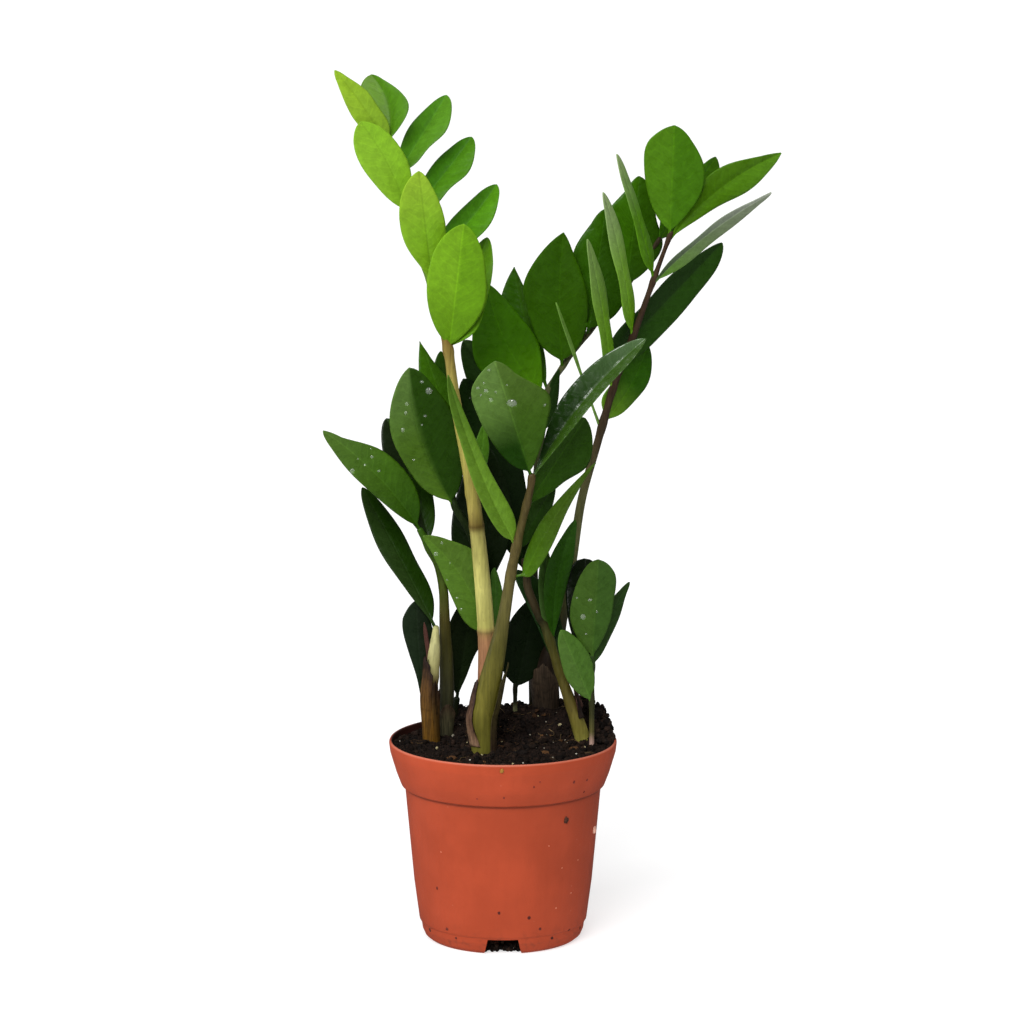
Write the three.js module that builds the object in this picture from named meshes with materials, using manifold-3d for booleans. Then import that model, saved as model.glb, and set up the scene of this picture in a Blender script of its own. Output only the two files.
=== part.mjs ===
// A young ZZ plant in a round plastic nursery pot.
//
// Millimetres, +Z up, +X to the right and +Y to the back. The origin is the middle of the pot's
// underside. Each frond is one solid: a tapering stem with its leaflets grown into it. The stems
// stand in plain holes in the soil.
import * as THREE from 'three';
import { mergeVertices } from 'three/addons/utils/BufferGeometryUtils.js';
import Module from 'manifold-3d';

const wasm = await Module();
wasm.setup();

// ---------------------------------------------------------------------------------------------
// Pot: heights and outer radii of its outline, from the foot up
// ---------------------------------------------------------------------------------------------
const POT_SIDES = 36;
const POT_HEIGHT = 107;
const WALL = 1.3;
const CENTRE_SPOT_RADIUS = 22;
const FLOOR_UNDERSIDE = 8.2;
const FLOOR_TOP = 9.6;
const FOOT_OUTLINE = [[39.6, 0], [42, 2], [43.6, 6], [43.9, 9]];
const BODY_OUTLINE = [[44.6, 9.8], [47.4, 31], [49.7, 56], [52.1, 82.4]];
const COLLAR_OUTLINE = [[54, 83.2], [56.6, 90], [59.9, 101], [60.5, 105.8]];
const LIP_TOP = [[59.9, POT_HEIGHT], [58.9, 106.6]];
const NOTCH_COUNT = 4;
const NOTCH = { top: 16, bottom: 20, height: 8.6, inner: 36, outer: 48 };
const DRAIN = { count: 8, radius: 3, ring: 31, sides: 12 };

// ---------------------------------------------------------------------------------------------
// Soil
// ---------------------------------------------------------------------------------------------
const GAP = 0.3;
const SOIL_EDGE_HEIGHT = 104;
const SOIL_RINGS = [58.1, 54, 46, 37, 28, 19, 10];
const SOIL_CRUMB = 0.55;
// each heap: place x, y, height and spread
const SOIL_HEAPS = [[43, 24, 13, 12], [14, 42, 11, 16], [-18, 42, 9, 12], [-46, 28, -2, 10]];
const HOLE_CLEARANCE = 0.4;

// ---------------------------------------------------------------------------------------------
// Fronds
// ---------------------------------------------------------------------------------------------
const STEM_SIDES = 8;
const STEM_DEPTH = 22;
const BLADE_THICKNESS = 0.8;
const STALK_THICKNESS = 1.8;
const STALK_HALF_WIDTH = 0.9;
const TIP_HALF_WIDTH = 0.35;
const BLADE_STATIONS = [0, 0.07, 0.2, 0.37, 0.55, 0.73, 0.88, 1];
const BLADE_START = 0.06;
// the blade's half width along it is t^a * (1 - t)^b scaled to 1, where a and b add up to BLADE_POWER
// and put the widest place at `widest`
const BLADE_POWER = 1.6;

const BRIGHT = '#7cae25';
const FRESH = '#4f7f1f';
const MATURE = '#355f14';
const DARK = '#1f3d14';

// A stem is a list of points [x, y, z, radius] from the soil up. A leaflet grows from the stem
// at the height `at` and is widest at the share `widest` of its length. Its broad face looks to
// the front (-Y) at turn 0, and is turned about the leaflet's own length by `turn` degrees. `bow`
// bends its middle to the front, `sway` to its right, and `fold` lifts its two edges.
const FRONDS = {
  frond_tall_left: {
    color: BRIGHT,
    stem: [[-10, 3, 105, 4.6], [-9, 3, 133, 4.6], [-9, 2, 166, 4.5], [-13, -1, 215, 4], [-18, -3, 252, 3.3],
      [-25, -5, 290, 2.9], [-29, -7, 319, 2.4], [-38, -8, 353, 2], [-51, -8, 392, 1.5], [-60, -8, 424, 1]],
    leaves: [
      { at: 318, tip: [-20, -26, 383], width: 31, fold: 10, widest: 0.5 },
      { at: 346, tip: [-42, -24, 411], width: 24, turn: 8, fold: 10 },
      { at: 387, tip: [-73, -20, 436], width: 21, turn: 10, fold: 8, sway: 3 },
      { at: 420, tip: [-86, -16, 462], width: 16, turn: 15, sway: 2 },
      { at: 316, tip: [-8, 10, 373], width: 22, turn: -45 },
      { at: 360, tip: [-3, 16, 400], width: 21, turn: -40, sway: 2 },
      { at: 386, tip: [-16, 14, 425], width: 21, turn: -40, sway: 1 },
      { at: 406, tip: [-29, 12, 447], width: 22, turn: -40 },
      { at: 423, tip: [-68, 8, 458], width: 26, turn: -10, fold: 20, sway: 5 },
      { at: 239, tip: [-10, 6, 275], width: 9, turn: 20, sway: 1 },
    ],
  },
  frond_front: {
    color: FRESH,
    stem: [[-8, -18, 104, 6.4], [-10, -18, 121, 7.4], [-8, -18, 132, 6.8], [-3, -19, 159, 4.8], [-1, -20, 175, 4.2],
      [4, -23, 203, 3.2], [9, -27, 224, 2.3], [14, -32, 246, 1.9], [15, -33, 254, 1.4]],
    leaves: [
      { at: 253, tip: [-4, -48, 316], width: 40, fold: 14 },
      { at: 251, tip: [74, -22, 324], width: 24, turn: 40, fold: 14, sway: -5, widest: 0.6 },
      { at: 215, tip: [-28, -42, 308], width: 19, turn: 46, fold: 8, sway: -3, widest: 0.4 },
      { at: 199, tip: [48, -34, 261], width: 22, turn: -48, fold: 8, widest: 0.42 },
      { at: 237, tip: [43, -12, 281], width: 26, turn: 32, fold: 8 },
      { at: 108, tip: [-17, -21, 147], width: 14, turn: 30, bow: 3, thickness: 0.9 },
    ],
  },
  frond_tall_right: {
    color: MATURE,
    stem: [[23, 42, 114, 7.4], [25, 41, 130, 6], [28, 40, 146, 4.2], [33, 38, 174, 3], [37, 36, 197, 2.7],
      [42, 34, 230, 2.5], [50, 31, 260, 2.5], [59, 27, 293, 2.4], [69, 24, 320, 2.3], [80, 19, 352, 1.7],
      [88, 15, 375, 1.1]],
    leaves: [
      { at: 373, tip: [89, 5, 432], width: 31, fold: 12 },
      { at: 370, tip: [145, 12, 417], width: 22, turn: 42, fold: 12, sway: -5 },
      { at: 347, tip: [139, -5, 398], width: 20, turn: 70, fold: 8, sway: -3 },
      { at: 319, tip: [116, 38, 367], width: 27, turn: 25, fold: 10, sway: -2 },
      { at: 278, tip: [77, 44, 314], width: 24, turn: 30, sway: 3 },
      { at: 289, tip: [44, 2, 373], width: 19, turn: 68, sway: 3 },
      { at: 321, tip: [52, -4, 398], width: 22, turn: 65, sway: 1 },
      { at: 354, tip: [59, -6, 418], width: 18, turn: 73 },
    ],
  },
  frond_back_right: {
    color: MATURE,
    stem: [[8, 48, 114, 3.2], [13, 51, 162, 2.8], [17, 52, 216, 2.4], [20, 52, 260, 2.2], [24, 51, 283, 1.9],
      [36, 49, 301, 1.9], [47, 47, 317, 1.8], [65, 44, 342, 1.5], [83, 40, 369, 1.1]],
    leaves: [
      { at: 283, tip: [-8, 30, 346], width: 34, fold: 8, sway: -6 },
      { at: 295, tip: [6, 64, 351], width: 22, turn: -25, sway: -3 },
      { at: 300, tip: [32, 40, 374], width: 38, fold: 10, sway: -2 },
      { at: 298, tip: [33, 28, 326], width: 9, turn: 62 },
      { at: 317, tip: [54, 58, 386], width: 28, turn: 5 },
      { at: 342, tip: [72, 54, 404], width: 26, turn: 10 },
      { at: 366, tip: [113, 54, 411], width: 22, turn: 20 },
      { at: 180, tip: [-17, 34, 272], width: 32, turn: 15 },
      { at: 252, tip: [-21, 38, 315], width: 24, turn: 10 },
    ],
  },
  frond_left: {
    color: FRESH,
    stem: [[-31, 20, 107, 3.9], [-30, 20, 133, 3.9], [-32, 19, 166, 2.9], [-33, 18, 183, 2.4], [-36, 17, 197, 2.3],
      [-40, 16, 206, 2.2], [-45, 14, 217, 1.8]],
    leaves: [
      { at: 216, tip: [-94, -4, 273], width: 23, turn: 15, fold: 14, sway: 4, widest: 0.6 },
      { at: 207, tip: [-62, 32, 274], width: 25, turn: 20, sway: 2 },
    ],
  },
  frond_far_left: {
    color: DARK,
    stem: [[-38, 7, 104, 4.2], [-39, 8, 126, 4.2], [-38, 8, 141, 3.8], [-37, 9, 153, 3], [-36, 10, 166, 1.6]],
    leaves: [
      { at: 164, tip: [-75, 30, 237], width: 18, turn: 35, sway: -1, widest: 0.5 },
      { at: 110, tip: [-46, 14, 179], width: 20, turn: 10, sway: -2 },
    ],
  },
  frond_middle: {
    color: MATURE,
    stem: [[-5, 20, 111, 2.8], [-9, 19, 157, 2.6], [-11, 18, 190, 2.4], [-17, 16, 214, 2.2], [-25, 13, 229, 1.8],
      [-28, 15, 242, 1.2]],
    leaves: [
      { at: 157, tip: [-42, 8, 215], width: 27, fold: 8, sway: 6 },
      { at: 229, tip: [-49, -2, 306], width: 38, fold: 14, sway: -2, widest: 0.5 },
      { at: 239, tip: [-44, 26, 316], width: 24, turn: 20, sway: 4 },
      { at: 237, tip: [-33, 32, 310], width: 20, turn: 25 },
      { at: 160, tip: [-4, 26, 240], width: 18, turn: -20, sway: 2 },
    ],
  },
  frond_low_right: {
    color: FRESH,
    stem: [[43, 3, 105, 4.2], [37, 3, 125, 3.2], [31, 3, 141, 2.6], [23, 3, 165, 2.3], [19, 3, 173, 2.1],
      [13, 2, 187, 1.9], [12, 2, 195, 1.4]],
    leaves: [
      { at: 158, tip: [38, -6, 226], width: 18, turn: 30 },
      { at: 162, tip: [22, -4, 204], width: 12, turn: 50 },
      { at: 148, tip: [5, 16, 185], width: 25, turn: 20, sway: -3 },
    ],
  },
  shoot_right: {
    color: MATURE,
    stem: [[47, -5, 105, 1.6], [47, -4, 127, 1.7], [47, -3, 146, 1.4], [47, -3, 152, 1.1]],
    leaves: [
      { at: 129, tip: [31, -16, 172], width: 22, turn: 25 },
      { at: 150, tip: [50, -12, 206], width: 23, fold: 10, widest: 0.6 },
      { at: 146, tip: [67, 8, 190], width: 15, turn: 45, sway: -3 },
      { at: 145, tip: [43, 12, 205], width: 16, turn: 15 },
    ],
  },
  shoot_back: {
    color: DARK,
    stem: [[6, 34, 113, 1.6], [5, 34, 129, 1.2]],
    leaves: [{ at: 128, tip: [14, 38, 186], width: 26, turn: 10 }],
  },
  shoot_back_left: {
    color: DARK,
    stem: [[-26, 38, 110, 1.8], [-25, 38, 120, 1.4]],
    leaves: [{ at: 119, tip: [-17, 34, 177], width: 22, turn: 15 }],
  },
};

// ---------------------------------------------------------------------------------------------
// Joining and cutting
// ---------------------------------------------------------------------------------------------
function toSolid(geometry) {
  const bare = geometry.clone();
  bare.deleteAttribute('normal');
  bare.deleteAttribute('uv');
  const merged = mergeVertices(bare, 1e-4);
  const vertProperties = new Float32Array(merged.attributes.position.array);
  const triVerts = new Uint32Array(merged.index.array);
  return new wasm.Manifold(new wasm.Mesh({ numProp: 3, vertProperties, triVerts }));
}

function toGeometry(solid) {
  const mesh = solid.getMesh();
  const geometry = new THREE.BufferGeometry();
  geometry.setAttribute('position', new THREE.BufferAttribute(new Float32Array(mesh.vertProperties), 3));
  geometry.setIndex(Array.from(mesh.triVerts));
  geometry.computeVertexNormals();
  return geometry;
}

function joined(geometries) {
  return geometries.map(toSolid).reduce((whole, next) => whole.add(next));
}

function meshOf(name, solid, color, roughness) {
  const material = new THREE.MeshStandardMaterial({ color, roughness, metalness: 0 });
  const mesh = new THREE.Mesh(toGeometry(solid), material);
  mesh.name = name;
  return mesh;
}

function closedGeometry(points, triangles) {
  const geometry = new THREE.BufferGeometry();
  geometry.setAttribute('position', new THREE.Float32BufferAttribute(points.flatMap((p) => [p.x, p.y, p.z]), 3));
  geometry.setIndex(triangles);
  return geometry;
}

// A solid of revolution about Z from [radius, height] pairs that start and end on the axis
function turned(profile, sides) {
  const points = profile.map(([radius, height]) => new THREE.Vector2(radius, height));
  return new THREE.LatheGeometry(points, sides).rotateX(Math.PI / 2);
}

// ---------------------------------------------------------------------------------------------
// Pot
// ---------------------------------------------------------------------------------------------
function inset(outline) {
  return outline.map(([radius, height]) => [radius - WALL, height]).reverse();
}

function potProfile() {
  const underside = [[0, 0], [CENTRE_SPOT_RADIUS, 0], [CENTRE_SPOT_RADIUS + 2.4, FLOOR_UNDERSIDE],
    [41.8, FLOOR_UNDERSIDE], [40.8, 3.4], [38.2, 0]];
  const inside = [...inset(COLLAR_OUTLINE.slice(1, 3)), [52.9, 84.6], ...inset(BODY_OUTLINE.slice(1)),
    [42.8, FLOOR_TOP], [CENTRE_SPOT_RADIUS + 3.6, FLOOR_TOP], [CENTRE_SPOT_RADIUS + 1.2, WALL], [0, WALL]];
  return [...underside, ...FOOT_OUTLINE, ...BODY_OUTLINE, ...COLLAR_OUTLINE, ...LIP_TOP, ...inside];
}

function notchShape() {
  const shape = new THREE.Shape();
  shape.moveTo(-NOTCH.bottom / 2, -1);
  shape.lineTo(NOTCH.bottom / 2, -1);
  shape.lineTo(NOTCH.top / 2, NOTCH.height);
  shape.lineTo(-NOTCH.top / 2, NOTCH.height);
  shape.closePath();
  return shape;
}

function potSolid() {
  let pot = toSolid(turned(potProfile(), POT_SIDES));
  for (let i = 0; i < NOTCH_COUNT; i += 1) {
    const cut = new THREE.ExtrudeGeometry(notchShape(), { depth: NOTCH.outer - NOTCH.inner, bevelEnabled: false });
    cut.rotateX(Math.PI / 2).translate(0, -NOTCH.inner, 0).rotateZ((i * 2 * Math.PI) / NOTCH_COUNT);
    pot = pot.subtract(toSolid(cut));
  }
  for (let i = 0; i < DRAIN.count; i += 1) {
    const angle = ((i + 0.5) * 2 * Math.PI) / DRAIN.count;
    const hole = new THREE.CylinderGeometry(DRAIN.radius, DRAIN.radius, 6, DRAIN.sides).rotateX(Math.PI / 2);
    hole.translate(DRAIN.ring * Math.cos(angle), DRAIN.ring * Math.sin(angle), FLOOR_TOP);
    pot = pot.subtract(toSolid(hole));
  }
  return pot;
}

// ---------------------------------------------------------------------------------------------
// Stems and leaflets
// ---------------------------------------------------------------------------------------------
function stemCurve(stem) {
  const [first] = stem;
  const root = [first[0], first[1], first[2] - STEM_DEPTH, first[3]];
  const knots = [root, ...stem];
  const points = knots.map(([x, y, z]) => new THREE.Vector3(x, y, z));
  const curve = new THREE.CatmullRomCurve3(points, false, 'catmullrom', 0.5);
  return { curve, knots };
}

function stemGeometry(stem, clearance = 0) {
  const { curve, knots } = stemCurve(stem);
  const spans = knots.length - 1;
  const points = [];
  const triangles = [];
  for (let i = 0; i <= spans; i += 1) {
    const centre = curve.getPoint(i / spans);
    const along = curve.getTangent(i / spans);
    const across = new THREE.Vector3(1, 0, 0).addScaledVector(along, -along.x).normalize();
    const up = new THREE.Vector3().crossVectors(along, across);
    const radius = knots[i][3] + clearance;
    for (let j = 0; j < STEM_SIDES; j += 1) {
      const angle = (j * 2 * Math.PI) / STEM_SIDES;
      const point = centre.clone().addScaledVector(across, radius * Math.cos(angle));
      points.push(point.addScaledVector(up, radius * Math.sin(angle)));
    }
  }
  for (let i = 0; i < spans; i += 1) {
    for (let j = 0; j < STEM_SIDES; j += 1) {
      const a = i * STEM_SIDES + j;
      const b = i * STEM_SIDES + ((j + 1) % STEM_SIDES);
      triangles.push(a, b, b + STEM_SIDES, a, b + STEM_SIDES, a + STEM_SIDES);
    }
  }
  const last = spans * STEM_SIDES;
  for (let j = 1; j < STEM_SIDES - 1; j += 1) {
    triangles.push(0, j + 1, j, last, last + j, last + j + 1);
  }
  return closedGeometry(points, triangles);
}

// The point of the stem's middle line at a height
function stemPoint(stem, height) {
  const { curve } = stemCurve(stem);
  let low = 0;
  let high = 1;
  for (let i = 0; i < 30; i += 1) {
    const middle = (low + high) / 2;
    if (curve.getPoint(middle).z < height) low = middle;
    else high = middle;
  }
  return curve.getPoint(low);
}

function halfWidth(t, width, widest) {
  if (t <= BLADE_START) return STALK_HALF_WIDTH;
  const s = (t - BLADE_START) / (1 - BLADE_START);
  const basePower = BLADE_POWER * widest;
  const tipPower = BLADE_POWER * (1 - widest);
  const peak = widest ** basePower * (1 - widest) ** tipPower;
  const blade = (width / 2) * ((s ** basePower * (1 - s) ** tipPower) / peak);
  return Math.max(blade, t < 0.5 ? STALK_HALF_WIDTH : TIP_HALF_WIDTH);
}

function leafGeometry(stem, leaf) {
  const { at, tip, width, widest = 0.55, thickness = BLADE_THICKNESS } = leaf;
  const { turn = 0, bow = 0, sway = 0, fold = 0 } = leaf;
  const root = stemPoint(stem, at);
  const end = new THREE.Vector3(...tip);
  const along = end.clone().sub(root).normalize();
  const front = new THREE.Vector3(0, -1, 0).addScaledVector(along, along.y).normalize();
  const right = new THREE.Vector3().crossVectors(along, front);
  const lift = THREE.MathUtils.degToRad(fold);
  const angle = THREE.MathUtils.degToRad(turn);
  const points = [];
  const triangles = [];
  for (const t of BLADE_STATIONS) {
    const face = front.clone().multiplyScalar(Math.cos(angle)).addScaledVector(right, Math.sin(angle));
    const side = right.clone().multiplyScalar(Math.cos(angle)).addScaledVector(front, -Math.sin(angle));
    const bend = 4 * t * (1 - t);
    const rib = root.clone().lerp(end, t).addScaledVector(front, bow * bend).addScaledVector(right, sway * bend);
    const half = halfWidth(t, width, widest);
    const thick = THREE.MathUtils.lerp(STALK_THICKNESS, thickness, Math.min(t / 0.16, 1));
    for (const level of [thick / 2, -thick / 2]) {
      for (const across of [-1, 0, 1]) {
        const edge = rib.clone().addScaledVector(side, across * half * Math.cos(lift));
        points.push(edge.addScaledVector(face, Math.abs(across) * half * Math.sin(lift) + level));
      }
    }
  }
  // each station holds the front row 0, 1, 2 and the back row 3, 4, 5
  const quad = (a, b, c, d) => triangles.push(a, b, c, a, c, d);
  for (let i = 0; i < BLADE_STATIONS.length - 1; i += 1) {
    const p = i * 6;
    const q = p + 6;
    for (const k of [0, 1]) {
      quad(p + k, p + k + 1, q + k + 1, q + k);
      triangles.push(p + k + 3, q + k + 4, p + k + 4, p + k + 3, q + k + 3, q + k + 4);
    }
    quad(p, q, q + 3, p + 3);
    quad(p + 2, p + 5, q + 5, q + 2);
  }
  const last = (BLADE_STATIONS.length - 1) * 6;
  for (const k of [0, 1]) {
    quad(k, k + 3, k + 4, k + 1);
    quad(last + k, last + k + 1, last + k + 4, last + k + 3);
  }
  return closedGeometry(points, triangles);
}

function frondSolid({ stem, leaves }) {
  return joined([stemGeometry(stem), ...leaves.map((leaf) => leafGeometry(stem, leaf))]);
}

// ---------------------------------------------------------------------------------------------
// Soil
// ---------------------------------------------------------------------------------------------
function soilHeight(x, y) {
  let height = SOIL_EDGE_HEIGHT;
  for (const [heapX, heapY, rise, spread] of SOIL_HEAPS) {
    height += rise * Math.exp(-((x - heapX) ** 2 + (y - heapY) ** 2) / (2 * spread ** 2));
  }
  return height + SOIL_CRUMB * Math.sin(x * 0.55 + 2) * Math.cos(y * 0.6 - 1);
}

function soilSolid() {
  const wall = inset([...BODY_OUTLINE.slice(1), ...COLLAR_OUTLINE.slice(1, 3)]).reverse();
  const edge = [[CENTRE_SPOT_RADIUS + 3.3, FLOOR_TOP + GAP], [42.3, FLOOR_TOP + GAP],
    ...wall.map(([radius, height]) => [radius - GAP, height])];
  const base = [[0, WALL + GAP], [CENTRE_SPOT_RADIUS + 0.9, WALL + GAP], ...edge];
  const top = SOIL_RINGS.map((radius) => [radius, SOIL_EDGE_HEIGHT]);
  const geometry = turned([...base, ...top, [0, SOIL_EDGE_HEIGHT]], POT_SIDES);
  const position = geometry.attributes.position;
  for (let i = 0; i < position.count; i += 1) {
    if (position.getZ(i) > SOIL_EDGE_HEIGHT - 1) {
      position.setZ(i, soilHeight(position.getX(i), position.getY(i)));
    }
  }
  let soil = toSolid(geometry);
  for (const { stem } of Object.values(FRONDS)) {
    const [first] = stem;
    const deeper = [[first[0], first[1], first[2] - GAP, first[3]], ...stem.slice(1)];
    soil = soil.subtract(toSolid(stemGeometry(deeper, HOLE_CLEARANCE)));
  }
  return soil;
}

// ---------------------------------------------------------------------------------------------
// The plant
// ---------------------------------------------------------------------------------------------
const plant = new THREE.Group();
plant.add(meshOf('pot', potSolid(), '#bf5336', 0.45));
plant.add(meshOf('soil', soilSolid(), '#1d1714', 1));
for (const [name, frond] of Object.entries(FRONDS)) {
  plant.add(meshOf(name, frondSolid(frond), frond.color, 0.35));
}

export default plant;
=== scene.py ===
"""A young ZZ plant in a terracotta-coloured nursery pot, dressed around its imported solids.

Lengths are in millimetres and become metres where a mesh is made. +Z is up, +X to the right
and +Y to the back, with the origin in the middle of the pot's underside.
"""

import math
import random

import bmesh
import bpy
import numpy as np
from mathutils import Matrix, Vector, noise


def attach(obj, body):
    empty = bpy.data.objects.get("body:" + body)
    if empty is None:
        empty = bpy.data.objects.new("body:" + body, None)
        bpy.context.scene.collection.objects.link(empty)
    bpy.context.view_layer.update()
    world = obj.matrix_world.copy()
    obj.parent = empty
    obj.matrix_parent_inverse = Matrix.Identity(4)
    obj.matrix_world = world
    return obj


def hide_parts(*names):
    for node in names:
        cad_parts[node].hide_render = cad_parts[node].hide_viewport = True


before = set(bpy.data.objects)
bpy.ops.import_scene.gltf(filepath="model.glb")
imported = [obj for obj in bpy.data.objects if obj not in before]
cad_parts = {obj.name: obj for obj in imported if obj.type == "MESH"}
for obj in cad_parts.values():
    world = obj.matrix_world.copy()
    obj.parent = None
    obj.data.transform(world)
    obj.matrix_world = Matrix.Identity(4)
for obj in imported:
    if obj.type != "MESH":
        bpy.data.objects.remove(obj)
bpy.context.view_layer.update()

MM = 0.001

# Camera, light and floor
CAMERA_PLACE = (4.8, -2200.0, 623.0)
CAMERA_PITCH = 10.15
LENS = 149.4
SENSOR = 36.0
PHOTO_SIDE = 1024
FLOOR_HALF = 30000.0
FLOOR_LINES = 13
FLOOR_HEIGHT = -0.05
KEY = {"azimuth": -12, "elevation": 45, "spread": 36, "strength": 2.7}
SOFTBOXES = [
    # place, width, height, power
    ((-1500, -1100, 1350), 520, 520, 12.0),
    ((1100, 700, 1600), 700, 700, 2.0),
    ((-2300, 500, 450), 800, 800, 6.0),
]
SKY_DIM = 0.12
SKY_BRIGHT = 0.4
SKY_WAY = (-0.2, 0.2, 1.0)
FLOOR_GLOW = 0.62

# Pot, from the foot up: radius and height
POT_COLOUR = (161, 64, 36)
POT_SEGMENTS = 192
POT_HEIGHT = 107
WALL = 1.3
STEP_HEIGHT = 82.1
INSIDE_STEP = (52.9, 84.6)
CENTRE_SPOT_RADIUS = 22
FLOOR_UNDERSIDE = 8.2
FLOOR_TOP = 9.6
FOOT_OUTLINE = [(39.6, 0), (42, 2), (43.6, 6), (43.9, 9)]
BODY_OUTLINE = [(44.6, 9.8), (47.4, 31), (49.7, 56), (52.1, 82.4)]
COLLAR_OUTLINE = [(54, 83.2), (56.6, 90), (59.9, 101), (60.5, 105.8)]
LIP_TOP = [(59.9, POT_HEIGHT), (58.9, 106.6)]
NOTCH_COUNT = 4
NOTCH = {"top": 16, "bottom": 20, "height": 8.6, "inner": 36, "outer": 48}
DRAIN = {"count": 8, "radius": 3, "ring": 31, "sides": 24, "reach": (6.6, 12.6)}
# dirt on the pot's front, by its picture place, size and colour
MARK_SPOTS = [
    (502, 771, 1.4, (150, 105, 40)), (566, 820, 1.9, (72, 40, 28)), (594, 830, 1.8, (222, 170, 150)),
    (437, 888, 0.8, (92, 36, 28)), (499, 913, 0.8, (80, 30, 24)), (529, 918, 0.9, (80, 30, 24)),
    (540, 929, 0.9, (92, 36, 28)), (430, 930, 0.9, (70, 28, 22)), (447, 929, 0.8, (96, 38, 28)),
    (456, 938, 0.7, (84, 34, 26)), (433, 944, 0.7, (84, 34, 26)), (552, 938, 0.9, (70, 30, 24)),
    (569, 930, 0.8, (84, 36, 28)), (580, 928, 0.7, (84, 36, 28)), (477, 799, 0.5, (128, 48, 36)),
    (504, 798, 0.6, (110, 44, 34)), (540, 782, 0.5, (128, 48, 36)), (534, 787, 0.5, (120, 46, 34)),
    (574, 782, 0.7, (110, 44, 34)), (587, 780, 0.6, (110, 44, 34)), (584, 792, 0.6, (96, 38, 28)),
    (549, 846, 0.4, (206, 124, 96)), (562, 868, 0.4, (206, 124, 96)), (571, 893, 0.4, (206, 124, 96)),
    (556, 908, 0.4, (206, 124, 96)), (578, 860, 0.4, (206, 124, 96)), (441, 852, 0.4, (206, 124, 96)),
]
# and round its sides and back: angle from the front in degrees, + to the right, height, size, colour
POT_MARKS = [
    (120, 40, 0.9, (84, 36, 28)), (160, 66, 0.7, (110, 44, 34)), (-110, 24, 0.9, (84, 36, 28)),
    (-150, 88, 0.6, (128, 48, 36)), (200, 14, 1.0, (70, 30, 24)), (-128, 60, 0.8, (96, 38, 28)),
]

# Soil
SOIL_EDGE_HEIGHT = 104
SOIL_RADIUS = 58.5
SOIL_STEP = 0.75
SOIL_SEGMENTS = 300
# radius and height of the soil against the floor and wall of the pot, from its middle outwards
SOIL_WALL = [
    (CENTRE_SPOT_RADIUS + 0.9, WALL + 0.1), (CENTRE_SPOT_RADIUS + 3.3, FLOOR_TOP + 0.1),
    (42.5, FLOOR_TOP + 0.1), (46, 31), (48.3, 56), (50.6, 82), (52.6, 86), (55.2, 90.5), (58.2, 99.5),
]
# place, rise and spread of the broad heaps
SOIL_HEAPS = [(43, 24, 13, 12), (14, 42, 11, 16), (-18, 42, 9, 12), (-46, 28, -2, 10)]
SOIL_COLOUR = (30, 22, 18)
SOIL_TONES = [(26, 20, 17), (31, 24, 20), (21, 17, 15), (37, 28, 22), (23, 19, 17), (42, 31, 25)]
CRUMB_COUNT = 5200
CRUMB_SIZES = (0.35, 0.5, 0.5, 0.7, 0.9)
CLOD_COUNT = 260
CHIP_COUNT = 70
CHIP_TONES = [(70, 48, 32), (52, 38, 28), (92, 64, 40)]
FIBRE_COUNT = 60
FIBRE_REACH = 57
FIBRE_TONES = [(96, 76, 50), (70, 52, 36), (116, 96, 66), (52, 40, 30)]
SPILL_COUNT = 420
SPILL_RISE = 5.5
NOTCH_CRUMBS = 230
# picture places of the pale grains, and their sizes
PERLITE_SPOTS = [
    (453, 736, 1.5), (440, 738, 1.2), (437, 748, 1.2), (482, 755, 0.9), (513, 764, 1.0), (560, 725, 1.8),
    (576, 754, 1.1), (553, 758, 1.2), (530, 735, 0.9), (585, 747, 0.9), (546, 722, 0.8), (523, 763, 0.8),
    (565, 740, 0.8), (502, 742, 0.7), (470, 760, 0.8),
]
PERLITE_SCATTER = 26
PERLITE_TONES = [(190, 184, 170), (150, 142, 126), (172, 160, 120), (128, 120, 106)]

# Fronds
# share of its colour in the picture that a surface gives back under these lamps
LEAF_ALBEDO = 0.7
BARK_ALBEDO = 0.7
# what the side of a leaf that faces away is like: its glossy upper side, or its pale underside
UPPER_TONE = (0.5, 0.62, 0.35)
UNDER_TONE = (0.035, 0.055, 0.02)
STEM_SIDES = 28
STEM_DEPTH = 22
STEM_ROW = 1.3
LEAF_ROWS = 46
LEAF_COLUMNS = 19
BLADE_THICKNESS = 0.75
STALK_THICKNESS = 1.8
STALK_HALF_WIDTH = 0.9
TIP_HALF_WIDTH = 0.3
BLADE_START = 0.06
LEAF_STATIONS = (0.15, 0.4, 0.65, 0.88)
HEEL = 0.75
BLUNT = 0.62
MIDRIB = 1.14
FRONDS = {}


def add_frond(name, slot, stem, bark, rings, *leaves):
    """Puts a frond in the table: its stem as (x, y, z, radius) from the soil up, bark as the stem's colours
    by height, its own colour with painted light and shade along it, and rings as the heights of its joints."""
    FRONDS[name] = {"slot": slot, "stem": stem, "bark": bark, "rings": rings, "leaves": leaves}


def leaflet(at, tip, left, right, left_colour_and_shade, right_colour_and_shade, **more):
    """A leaf: the height of its root, its tip, half its width to each side of the midrib at LEAF_STATIONS,
    and the colour of each half: its own green with painted light and shade, often one half lit and the
    other shaded."""
    return {"at": at, "tip": tip, "left": left, "right": right, "look": (left_colour_and_shade, right_colour_and_shade), **more}


# Leaf colours below carry painted light and shade: lit and shaded halves, shaded roots, painted sheen and
# highlights on some tips, and near-black painted shade on the leaves deep in the plant. Bark colours carry
# painted light and shade along each stem.
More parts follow.
